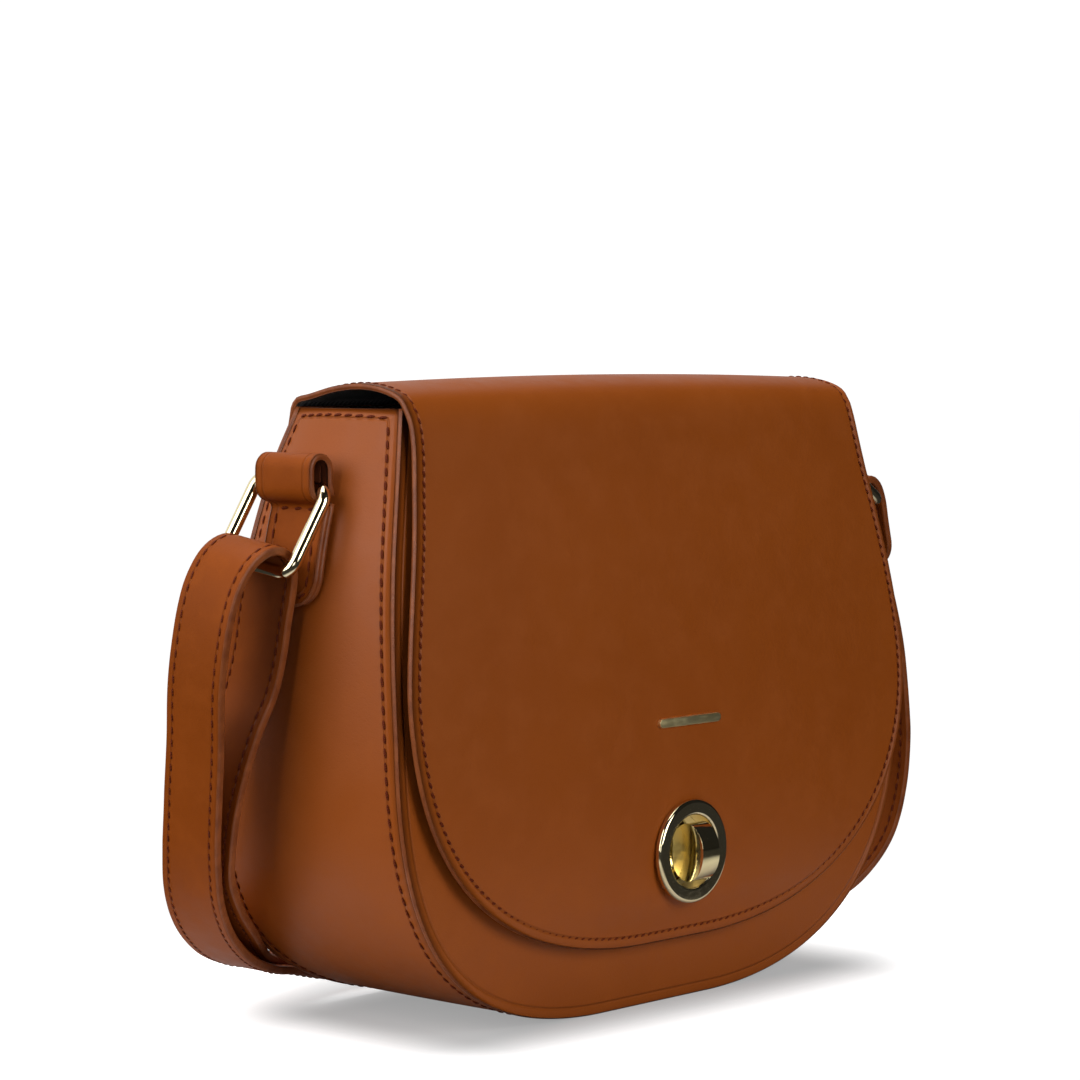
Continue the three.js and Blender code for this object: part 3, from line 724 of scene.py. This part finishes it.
# ---------------- flap
def flap_path():
    """Rows (y, z, half width) of the flap: its tail from the foot up, the arch over the top, the front."""
    levels = [TAIL_FOOT, 158.4, 158.9, *np.linspace(TAIL_FOOT, 195, 30)[1:]]
    tail = [(tail_y(z), z, tail_half(z)) for z in levels]
    arch_points = [
        (tail_y(195), 195.0), (24.2, 198.2), (22.4, 200.1), (15.6, 201.5), (4.3, 204.0),
        (-7.7, 204.9), (-18.9, 203.3), (-25.3, 200.5), (flap_y(196), 196.0),
    ]
    arch = evenly(spline(arch_points, 12), 2.2)
    arch_rows = [(y, z, FLAP_TOP_HALF - 0.08 * max(0, y - 15)) for y, z in arch[1:-1]]
    widest = (FLAP_WIDEST, FLAP_WIDEST_Z)
    upper = bezier((FLAP_TOP_HALF, 196), (108.3, 182), (FLAP_WIDEST, 131), widest, 160)
    lower = bezier(widest, (FLAP_WIDEST, 54.6), (83, FLAP_BOTTOM), (14, FLAP_BOTTOM), 200)
    side = evenly(np.concatenate([upper, lower[1:]]), 2.4)
    return tail, arch_rows, [(flap_y(z), z, x) for x, z in side]


def flap_grid(columns=71):
    """The flap's grid, the number of rows in its tail and the direction along the flap at each row."""
    tail, arch, front = flap_path()
    rows = tail + arch + front
    line = np.array([(r[0], r[1]) for r in rows])
    along = along_line(line)
    out = np.stack([along[:, 1], -along[:, 0]], axis=1)
    run = run_of(line)
    start = run[len(tail)]
    fade_height = 16
    u = np.linspace(-1, 1, columns)
    grid = []
    for i, (y, z, half) in enumerate(rows):
        crown = flap_crown((run[i] - start) / (run[-1] - start)) if i > len(tail) else 0.0
        above = min((z - FLAP_BOTTOM) / fade_height, 1.0)
        lift = crown * above * above * (3 - 2 * above) * (1 - u * u)
        grid.append(np.stack([u * half, y + out[i, 0] * lift, z + out[i, 1] * lift], axis=1))
    return np.array(grid), len(tail), np.concatenate([np.zeros((len(rows), 1)), along], axis=1)


def seam_stitches(build, grid, normal):
    """Stitches inside the two sides and the last row of a grid, from one side to the other."""

    def round_border(table):
        return np.concatenate([table[:, 0], table[-1, 1:-1], table[:, -1][::-1]])

    border = round_border(grid)
    lie = round_border(normal)
    inward = np.cross(np.gradient(border, axis=0), lie)
    inward /= np.maximum(np.linalg.norm(inward, axis=1), 1e-9)[:, None]
    centre = grid[len(grid) // 2, grid.shape[1] // 2]
    if ((border - centre) * inward).sum() > 0:
        inward = -inward
    stitches(build, *smoothed(border + inward * SEAM, lie), 3.3, slant=0.3)


def flap_piece():
    build = Build()
    grid, tail_rows, tangent = flap_grid()
    normal = leather_sheet(build, grid, FLAP_THICK, 0.75, False, [(0, LOCK_Z, 14.5)], tangent)
    past_hinge = tail_rows + 6
    seam_stitches(build, grid[past_hinge:], normal[past_hinge:])
    seam_stitches(build, grid[tail_rows::-1], normal[tail_rows::-1])
    obj = build.object("flap_skin", FLAP_SET)
    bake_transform(obj)
    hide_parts("flap_leather", "flap_lining", "flap_tail")


flap_piece()


# ---------------- lock and badge
def metal_piece(name, build, material, body, nodes, bevel=0.0):
    """Makes a closed metal piece on a body, with its edges eased by a bevel where one is given."""
    obj = recalc(build.object(name, [material]))
    if bevel:
        edges = obj.modifiers.new("edges", "BEVEL")
        edges.width = bevel * MM
        edges.segments = 3
        edges.limit_method = "ANGLE"
        bpy.context.view_layer.objects.active = obj
        obj.select_set(True)
        bpy.ops.object.modifier_apply(modifier="edges")
        obj.select_set(False)
    obj.data.set_sharp_from_angle(angle=math.radians(35))
    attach(obj, body)
    if nodes:
        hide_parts(*nodes)


def extrude_outline(build, outer, holes, place, depth):
    """A plate with holes. place(a, b, d) puts a point of an outline at depth d."""
    loops = [outer] + holes
    flat = [p for loop in loops for p in loop]
    faces = tessellate_polygon([[Vector((*p, 0)) for p in loop] for loop in loops])
    top = build.vertices([place(*p, 0) for p in flat], [INSIDE] * len(flat))
    low = build.vertices([place(*p, depth) for p in flat], [INSIDE] * len(flat))
    for a, b, c in faces:
        build.face([top + a, top + b, top + c], FACE)
        build.face([low + c, low + b, low + a], FACE)
    start = 0
    for loop in loops:
        build.band(top + start, low + start, len(loop), FACE)
        start += len(loop)


def arc(cx, cz, r, a0, a1, count):
    """Points of an arc from a0 to a1 degrees."""
    turns = [math.radians(a0 + (a1 - a0) * k / count) for k in range(count + 1)]
    return [(cx + r * math.cos(t), cz + r * math.sin(t)) for t in turns]


def round_box(half_x, low, high, r, count):
    """Outline of a box with round corners, anticlockwise from its lower right corner."""
    return (
        arc(half_x - r, low + r, r, -90, 0, count)
        + arc(half_x - r, high - r, r, 0, 90, count)
        + arc(r - half_x, high - r, r, 90, 180, count)
        + arc(r - half_x, low + r, r, 180, 270, count)
    )


# Turned sections are lists of (radius, y).
DISH_Y, DISH_DEPTH, DISH_RADIUS = -42.6, 1.1, 11.95
BEZEL = [
    (12.0, DISH_Y + DISH_DEPTH), (12.0, -49.3), (12.15, -49.7), (12.5, -49.95), (12.8, -50), (13.0, -50),
    (15.9, -50), (16.1, -50), (16.6, -49.8), (16.9, -49.5), (17.1, -49.1), (17.15, -48.5), (17.1, -47.9),
    (16.9, -47.8), (12.9, -47.8), (12.9, DISH_Y + DISH_DEPTH),
]
BASE_DISC = [(3.4, -38.7), (3.4, -40.0), (9.6, -40.0), (10.5, -39.7), (10.9, -39.2), (11.0, -38.7)]
RIVET = [
    (0.05, -41.0), (0.8, -40.95), (1.5, -40.75), (1.9, -40.3), (1.1, -40.3), (1.1, -32.1), (2, -32.1),
    (1.9, -31.6), (1.4, -31.4), (0.05, -31.4),
]
SPINDLE = [(0.05, -43.3), (3, -43.3), (3, -30.3), (2.7, -30), (0.05, -30)]
BACK_RING = [(13.3, -43.1), (13.3, -43.7), (13.6, -43.9), (17.7, -43.9), (18, -43.7), (18, -43.1)]
SCREW = [
    (0.05, -47.4), (0.9, -47.4), (0.9, -42.95), (1.9, -42.95), (1.7, -42.4), (1.0, -42.15), (0.05, -42.1),
]
RIVET_X = 8
SCREW_RING = 15.2
KNOB_Y, KNOB_DEEP, KNOB_TALL, KNOB_THICK = -50.2, 6.9, 9.5, 8.4
BADGE_HALF, BADGE_RADIUS, BADGE_THICK = 13.9, 1.4, 1.3


def turned_piece(name, section, at, segments, material, body, node):
    build = Build()
    lathe(build, section, at, segments)
    metal_piece(name, build, material, body, [node])


def lock_pieces():
    """Bezel with its dish, and the knob that passes through the slot in the dish."""
    turned_piece("lock_bezel_rim", BEZEL, (0, LOCK_Z), 96, GOLD, "flap", "lock_bezel")
    dish = Build()
    slot = arc(0, SLOT_CAP, SLOT_RADIUS, 0, 180, 16) + arc(0, -SLOT_CAP, SLOT_RADIUS, 180, 360, 16)
    disc = arc(0, 0, DISH_RADIUS, 0, 360, 64)[:-1]
    extrude_outline(dish, disc, [slot], lambda x, z, d: (x, DISH_Y + d, LOCK_Z + z), DISH_DEPTH)
    metal_piece("lock_bezel_floor", dish, SATIN_GOLD, "flap", [])
    knob = Build()
    turns = np.linspace(0, 2 * math.pi, 72, endpoint=False)
    coin = [(KNOB_DEEP * math.cos(t), KNOB_TALL * math.sin(t)) for t in turns]
    extrude_outline(knob, coin, [], lambda y, z, d: (d - KNOB_THICK / 2, KNOB_Y + y, LOCK_Z + z), KNOB_THICK)
    metal_piece("lock_knob_head", knob, PALE_GOLD, "knob", ["lock_knob"], bevel=1.1)


def badge_piece():
    """The plain bar on the flap, set just clear of the leather's crown."""
    build = Build()
    face_y = flap_y(BADGE_Z) - FLAP_CROWN - 0.05
    shape = arc(BADGE_HALF, 0, BADGE_RADIUS, -90, 90, 10) + arc(-BADGE_HALF, 0, BADGE_RADIUS, 90, 270, 10)
    extrude_outline(build, shape, [], lambda x, z, d: (x, face_y - d, BADGE_Z + z), BADGE_THICK)
    metal_piece("flap_badge_bar", build, SATIN_GOLD, "flap", ["flap_bar"], bevel=0.35)


def lock_base_pieces():
    """The plate on the bag behind the knob, its rivets, and the ring and screws inside the flap."""
    centre = (0, LOCK_Z)
    turned_piece("lock_base_disc", BASE_DISC, centre, 64, PALE_GOLD, "bag", "lock_base_plate")
    for k, x in enumerate((-RIVET_X, RIVET_X), 1):
        turned_piece(f"lock_rivet_head_{k}", RIVET, (x, LOCK_Z), 24, STEEL, "bag", f"lock_rivet_{k}")
    turned_piece("lock_spindle_shaft", SPINDLE, centre, 40, PALE_GOLD, "knob", "lock_spindle")
    turned_piece("lock_back_ring_plate", BACK_RING, centre, 72, STEEL, "flap", "lock_back_ring")
    for k, (x, z) in enumerate(arc(0, LOCK_Z, SCREW_RING, 45, 315, 3), 1):
        turned_piece(f"lock_screw_head_{k}", SCREW, (x, z), 24, STEEL, "flap", f"lock_screw_{k}")


lock_pieces()
badge_piece()
lock_base_pieces()


# ---------------- rings, tabs, buckle
def ring_frame(side, roll, swing):
    """Centre of a ring's upper bar, that bar's direction and the way the ring hangs from it."""
    tilt, swing = math.radians(roll), math.radians(swing)
    axis = np.array([0, math.cos(tilt), math.sin(tilt)])
    down = np.array([0, math.sin(tilt), -math.cos(tilt)])
    hang = down * math.cos(swing) + np.array([side * math.sin(swing), 0, 0])
    return np.array([side * RING_X, TAB_Y, RING_Z]), axis, hang


def ring_piece(side, roll, swing):
    centre, axis, hang = ring_frame(side, roll, swing)
    flat = round_box(RING_WIDTH / 2, 0, RING_DROP, RING_CORNER, 12)
    flat = evenly(flat + flat[:1], 1.1)[:-1]
    loop = centre + flat[:, :1] * axis + flat[:, 1:] * hang
    across = np.cross(axis, hang)
    along = np.roll(loop, -1, axis=0) - np.roll(loop, 1, axis=0)
    along /= np.linalg.norm(along, axis=1)[:, None]
    build = Build()
    sides = 20
    turns = [2 * math.pi * k / sides for k in range(sides)]
    starts = []
    for p, t in zip(loop, along):
        out = np.cross(t, across)
        wire = [p + RING_WIRE * (math.cos(a) * out + math.sin(a) * across) for a in turns]
        starts.append(build.vertices(wire, [INSIDE] * sides))
    for a, b in zip(starts, starts[1:] + starts[:1]):
        build.band(a, b, sides, FACE)
    word = "left" if side < 0 else "right"
    metal_piece(f"ring_{word}_bar", build, GOLD, f"{word}_ring", [f"ring_{word}"])


ring_piece(-1, LEFT_RING_ROLL, LEFT_RING_SWING)
ring_piece(1, RIGHT_RING_ROLL, RIGHT_RING_SWING)


def tab_row(side, x, z, rounded=True):
    """One row across a tab; the tab's foot has round corners."""
    reach = STRAP_WIDTH / 2
    if rounded:
        drop = max(0.0, TAB_BOTTOM + TAB_CORNER - z)
        reach -= TAB_CORNER - math.sqrt(max(TAB_CORNER**2 - drop**2, 0))
    return [(side * x, TAB_Y + k * reach, z) for k in np.linspace(-1, 1, 25)]


def tab_piece(side):
    outline = half_outline(0, 1.0)
    order = np.argsort(outline[:, 1])

    def gusset_x(z):
        return float(np.interp(z, outline[order, 1], outline[order, 0])) + gusset_bulge(z) + GAP

    def eye(z, turns):
        return [(RING_X + EYE_RADIUS * math.cos(t), z + EYE_RADIUS * math.sin(t)) for t in turns]

    face = [(gusset_x(z) + TAB_COVER + TAB_UNDER, z) for z in np.linspace(TAB_BOTTOM, 164, 24)]
    face += [(gusset_x(167) + 3.7, 167.2)]
    face += eye(173.4, np.radians((-62, -45, -22, 0)))
    face += eye(178.8, np.linspace(0, math.pi, 20))
    face += [(RING_X - EYE_RADIUS, 174.6), (gusset_x(170) + 0.6, 171.2)]
    face = evenly(spline(face, 3), 1.0)
    grid = np.array([tab_row(side, x, z, z < 160) for x, z in face])
    build = Build()
    normal = leather_sheet(build, grid, TAB_COVER, 0.8, side > 0)
    stop = int(np.argmax(grid[:, 12, 2] > 165.5))
    low, edge = 3, 3

    def box(table):
        left, right = table[low:stop, edge], table[low:stop, -1 - edge]
        return np.concatenate([left[::-1], table[low, edge:-edge], right])

    stitches(build, box(grid), box(normal), 4.6)
    stitches(build, grid[stop, edge:-edge], normal[stop, edge:-edge], 4.6)
    under = [tab_row(side, gusset_x(z) + TAB_UNDER + 0.05, z) for z in np.linspace(TAB_BOTTOM, 168, 28)]
    leather_sheet(build, np.array(under), TAB_UNDER, 0.8, side > 0)
    word = "left" if side < 0 else "right"
    bag_piece(f"tab_{word}_leather", build, TAB_SET, [f"strap_tab_{word}"])


tab_piece(-1)
tab_piece(1)


def buckle_piece():
    build = Build()
    outer = round_box(BUCKLE_REACH + BUCKLE_BAR / 2, -16.3, 16.3, 3.0, 8)
    half = STRAP_WIDTH / 2 + 1
    near, far = BUCKLE_BAR / 2, BUCKLE_REACH - BUCKLE_BAR / 2
    slots = [[(s * near, -half), (s * far, -half), (s * far, half), (s * near, half)] for s in (-1, 1)]

    def place(a, b, d):
        return BUCKLE_X + a, STRAP_BACK_Y + b, BUCKLE_Z - BUCKLE_BAR / 2 + d

    extrude_outline(build, outer, slots, place, BUCKLE_BAR)
    metal_piece("slide_buckle_frame", build, GOLD, "bag", ["strap_buckle"], bevel=0.7)


buckle_piece()


# ---------------- strap
def strap_route():
    """Centreline of the strap's two runs, in millimetres.

    The first goes from the buckle up to the left ring and back to the buckle, and the second from there
    through the buckle, up to the right ring and down to the strap's end.
    """

    def back(x, z):
        return x, STRAP_BACK_Y, z

    def around(x, radius, degrees):
        turn = math.radians(degrees)
        return back(x + radius * math.cos(turn), BUCKLE_Z + radius * math.sin(turn))

    wrap = 4.3  # radius of the strap's centreline round a bar of the buckle
    over = wrap + STRAP_THICK + GAP
    lean = math.degrees(math.asin((wrap + over) / BUCKLE_REACH))
    left, right = BUCKLE_X - BUCKLE_REACH, BUCKLE_X + BUCKLE_REACH
    floor = STRAP_THICK / 2 + GAP
    stacked = floor + STRAP_THICK + GAP
    first = [around(BUCKLE_X, wrap, degrees) for degrees in range(160, -81, -40)] + [
        back(12, 3.9), back(6.5, floor + 0.1), back(-6, floor), back(-26, floor), back(-46, 3.2),
        (-66, 66.5, 6.3), (-85.5, 61.8, 11.1), (-96.2, 59.2, 13.4), (-114.5, 51.6, 20.6),
        (-131.6, 42.3, 32.2), (-142.6, 34.6, 44.9), (-149.1, 28.3, 59.1), (-153.1, 23.2, 75.1),
        (-156.6, 18, 93.7), (-159, 14.7, 112), (-159.4, 12.5, 124.1), (-158.2, 10.8, 136), (-155.9, 9.9, 144),
        (-151.6, 8.7, 151.4), (-146.2, 8.2, 155.1), (-140.8, 7.9, 155.9), (-136.2, 8.1, 153.2),
        (-134, 8.8, 148.3), (-133.8, 9.7, 142.5), (-134.3, 11.1, 134.5), (-135.1, 12.8, 122.3),
        (-136.9, 15, 110.1), (-141.2, 17.2, 98.3), (-144, 19.9, 86.7), (-144.9, 23.4, 74.4),
        (-143.8, 27.2, 61.8), (-140.8, 31.2, 51.7), (-132.8, 36.8, 41.4), (-120.2, 45.4, 31.4),
        (-105.6, 58, 22.9), (-91, 66, 15.5), (-66, 67.7, 10), back(-46, 7.3), back(-26, stacked + 0.1),
        back(-6, stacked),
    ]
    second = [
        around(left, wrap, -90), around(left, wrap, lean - 120), around(left, wrap, lean - 90),
        around(BUCKLE_X, over, lean + 90), around(BUCKLE_X, over, lean / 2 + 90), around(BUCKLE_X, over, 90),
        around(BUCKLE_X, over, 90 - lean / 2), around(BUCKLE_X, over, 90 - lean),
        around(right, wrap, -90 - lean), around(right, wrap, -60 - lean), around(right, wrap, -90),
        back(40, 4), back(50, 2.6), (64, 67.5, floor), (80, 63.5, floor), (98, 55, floor + 0.2),
        (116, 44, 3), (134, 33, 5.2), (149, 24, 9.8), (160, 17.5, 16.5), (167.5, 13, 25),
        (172.5, 10, 34), (175.2, 8.6, 42.3), (176.7, 7.5, 51.7), (177, 6.5, 61), (176.8, 5.9, 72),
        (175.6, 5.5, 80), (173.6, 5.1, 91.6), (171.5, 5, 103), (168.8, 4.9, 112.4), (164, 4.8, 125.5),
        (160.3, 4.7, 134), (157.2, 4.6, 141), (153, 4.5, 147.5), (148.5, 4.5, 153), (146.9, 4.5, 158.5),
        (147.2, 4.5, 163.5), (150.8, 4.5, 167), (155.5, 4.5, 165), (158.5, 4.5, 159.5),
        (160.4, 4.6, 152), (162.8, 4.7, 143), (164.6, 4.8, 137), (165.8, 4.8, 133),
    ]
    return first, second


def strap_rows(line):
    """Width and thickness directions of a strap that lies across Y and leans with the left ring."""
    along = along_line(line)
    near_ring = np.clip((line[:, 2] - 105) / 30, 0, 1) * (line[:, 0] < 0)
    lean = near_ring * math.tan(math.radians(LEFT_RING_ROLL))
    across = np.stack([np.zeros_like(lean), np.ones_like(lean), lean], axis=1)
    wide = across - along * (along * across).sum(axis=1)[:, None]
    wide /= np.linalg.norm(wide, axis=1)[:, None]
    return wide, np.cross(along, wide)


def strap_section():
    """Points (across, through, kind) round the strap's section: two flat faces and two rounded edges."""
    half, deep = STRAP_WIDTH / 2, STRAP_THICK / 2
    flat = [(k * (half - 0.5), deep, FACE) for k in (-1, -0.94, -0.75, -0.4, 0, 0.4, 0.75, 0.94, 1)]
    rim = [(0.12, 0.72), (0, 0.3), (0.1, 0), (0, -0.3), (0.12, -0.72)]
    upper = flat + [(half - inward, deep * up, EDGE) for inward, up in rim]
    return upper + [(-w, -t, kind) for w, t, kind in upper]


def strap_build(line, rounded_end):
    """Two glued and sewn layers with painted, rounded edges."""
    build = Build()
    wide, thick = strap_rows(line)
    run = run_of(line)
    half, deep = STRAP_WIDTH / 2, STRAP_THICK / 2
    section = strap_section()
    starts = []
    for i, p in enumerate(line):
        from_end = run[-1] - run[i]
        scale = 1.0
        if rounded_end and from_end < half:
            scale = max(math.sqrt(max(half**2 - (half - from_end) ** 2, 0)) / half, 0.12)
        ring = [p + wide[i] * w * scale + thick[i] * t for w, t, _ in section]
        edge = [max(half - abs(w), 0) * scale for w, _, _ in section]
        starts.append(build.vertices(ring, edge))
    n = len(section)
    for a, b in zip(starts, starts[1:]):
        for k in range(n):
            m = (k + 1) % n
            kind = EDGE if EDGE in (section[k][2], section[m][2]) else FACE
            build.face([a + k, b + k, b + m, a + m], kind)
    build.face([starts[0] + k for k in range(n)], EDGE)
    build.face([starts[-1] + k for k in reversed(range(n))], EDGE)
    inner = slice(2, -8 if rounded_end else -2)
    for side in (-1, 1):
        for up in (-1, 1):
            path = line + wide * side * (half - SEAM) + thick * up * deep
            stitches(build, path[inner], (thick * up)[inner], 4.1, radius=0.42, lift=0)
    return build


def strap_pieces():
    first, second = strap_route()
    joint = tuple(np.array(first[-1]) + (0.15, 0, 0))
    left_line = evenly(spline(first, 10), 1.6)
    right_line = evenly(spline([joint] + second, 10), 1.6)
    left = strap_build(left_line, False).object("strap_left_run", STRAP_SET)
    right = strap_build(right_line, True).object("strap_right_run", STRAP_SET)
    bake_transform(left)
    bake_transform(right)
    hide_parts("strap_doubled_run", "strap_fold_left", "strap_main")
    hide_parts("strap_end", "strap_fold_right")


strap_pieces()

# ---------------- metal that stays as the CAD has it
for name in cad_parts:
    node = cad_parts[name]
    if node.hide_render:
        continue
    material = PALE_GOLD if name in ("lock_base_plate", "lock_spindle") else STEEL
    node.data.materials.clear()
    node.data.materials.append(material)


# ---------------- studio
def area_light(name, at, target, size, power):
    light = bpy.data.lights.new(name, "AREA")
    light.shape = "RECTANGLE"
    light.size, light.size_y = size
    light.energy = power
    obj = bpy.data.objects.new(name, light)
    obj.location = at
    obj.rotation_euler = (Vector(target) - Vector(at)).to_track_quat("-Z", "Y").to_euler()
    scene.collection.objects.link(obj)


CENTRE = (0, 0, 0.1)
BRIGHT_SIDE = (-0.12, 0.98, 0.12)
FLOOR_HALF, FLOOR_Z = 8, -0.0004
FLOOR_GLOW = 0.32
FOOTPRINT = (0.085, 0.03, 0)
area_light("key_left", (-1.6, 0.3, 0.8), CENTRE, (1.4, 1.4), 26)
area_light("front_soft", (-0.15, -1.9, 0.8), CENTRE, (1.0, 1.2), 25)
area_light("window", (-2.2, -2.05, 0.25), (0, -0.05, 0.05), (0.7, 0.9), 6)
area_light("top_soft", (-0.2, 0.3, 1.6), CENTRE, (1.2, 1.2), 15)


def studio_world():
    """White for the camera; for light, a room that is bright behind the bag and dark in front."""
    world = bpy.data.worlds.new("studio")
    world.use_nodes = True
    scene.world = world
    tree = world.node_tree
    room = tree.nodes["Background"]
    room.inputs["Strength"].default_value = 1.0
    backdrop = tree.nodes.new("ShaderNodeBackground")
    backdrop.inputs["Color"].default_value = (1, 1, 1, 1)
    backdrop.inputs["Strength"].default_value = 1.1
    coords = tree.nodes.new("ShaderNodeTexCoord")
    toward = tree.nodes.new("ShaderNodeVectorMath")
    toward.operation = "DOT_PRODUCT"
    toward.inputs[1].default_value = Vector(BRIGHT_SIDE).normalized()
    shade = tree.nodes.new("ShaderNodeMapRange")
    shade.interpolation_type = "SMOOTHSTEP"
    for key, value in (("From Min", 0.1), ("From Max", 0.8), ("To Min", 0.015), ("To Max", 1.0)):
        shade.inputs[key].default_value = value
    tree.links.new(coords.outputs["Generated"], toward.inputs[0])
    tree.links.new(toward.outputs["Value"], shade.inputs["Value"])
    tree.links.new(shade.outputs["Result"], room.inputs["Color"])
    rays = tree.nodes.new("ShaderNodeLightPath")
    either = tree.nodes.new("ShaderNodeMixShader")
    tree.links.new(rays.outputs["Is Camera Ray"], either.inputs[0])
    tree.links.new(room.outputs[0], either.inputs[1])
    tree.links.new(backdrop.outputs[0], either.inputs[2])
    tree.links.new(either.outputs[0], tree.nodes["World Output"].inputs[0])


def studio_floor():
    """White paper that glows for the camera, fully away from the bag so that it ends in the white backdrop;
    the glow is painted light over the bag's shadows, and a painted shadow darkens it under the bag.
    """
    mesh = bpy.data.meshes.new("studio_floor")
    corners = [(x * FLOOR_HALF, y * FLOOR_HALF, FLOOR_Z) for x, y in ((-1, -1), (1, -1), (1, 1), (-1, 1))]
    mesh.from_pydata(corners, [], [(0, 1, 2, 3)])
    obj = bpy.data.objects.new("studio_floor", mesh)
    scene.collection.objects.link(obj)
    paper = Nodes("studio_paper")
    apart = paper.coords()
    for kind, value in (("ABSOLUTE", None), ("SUBTRACT", FOOTPRINT), ("MAXIMUM", (0, 0, 0))):
        apart = paper.add("ShaderNodeVectorMath", {0: apart, 1: value}, operation=kind).outputs["Vector"]
    from_bag = paper.add("ShaderNodeVectorMath", {0: apart}, operation="LENGTH").outputs["Value"]
    rays = paper.add("ShaderNodeLightPath", {})
    # painted light: the camera-only glow lifts the shadows near the bag from FLOOR_GLOW and paints them out
    # fully 6 cm off its footprint
    glow = paper.ranged(from_bag, 0.0, 0.06, FLOOR_GLOW, 1.0)
    # the paper's albedo fades to near black 7 to 19 cm off the bag, so beyond that only the glow makes it
    # white, and the metal reflects it dark
    lit = paper.ranged(from_bag, 0.07, 0.19, 0.75, 0.03)
    # painted shadow: the paper's albedo drops to 0.4 right under the bag's footprint and rises to full 5 cm
    # off it
    under = paper.ranged(from_bag, 0.0, 0.05, 0.4, 1.0)
    paper.set(
        Base_Color=paper.mix(paper.math("MULTIPLY", lit, under), (0.0, 0.0, 0.0), (1.0, 1.0, 1.0)),
        Roughness=0.95,
        Specular_IOR_Level=0.0,
        Emission_Color=(1, 1, 1),
        Emission_Strength=paper.math("MULTIPLY", glow, rays.outputs["Is Camera Ray"]),
    )
    mesh.materials.append(paper.material)


studio_world()
studio_floor()

scene.view_settings.view_transform = "Standard"
scene.view_settings.look = "None"
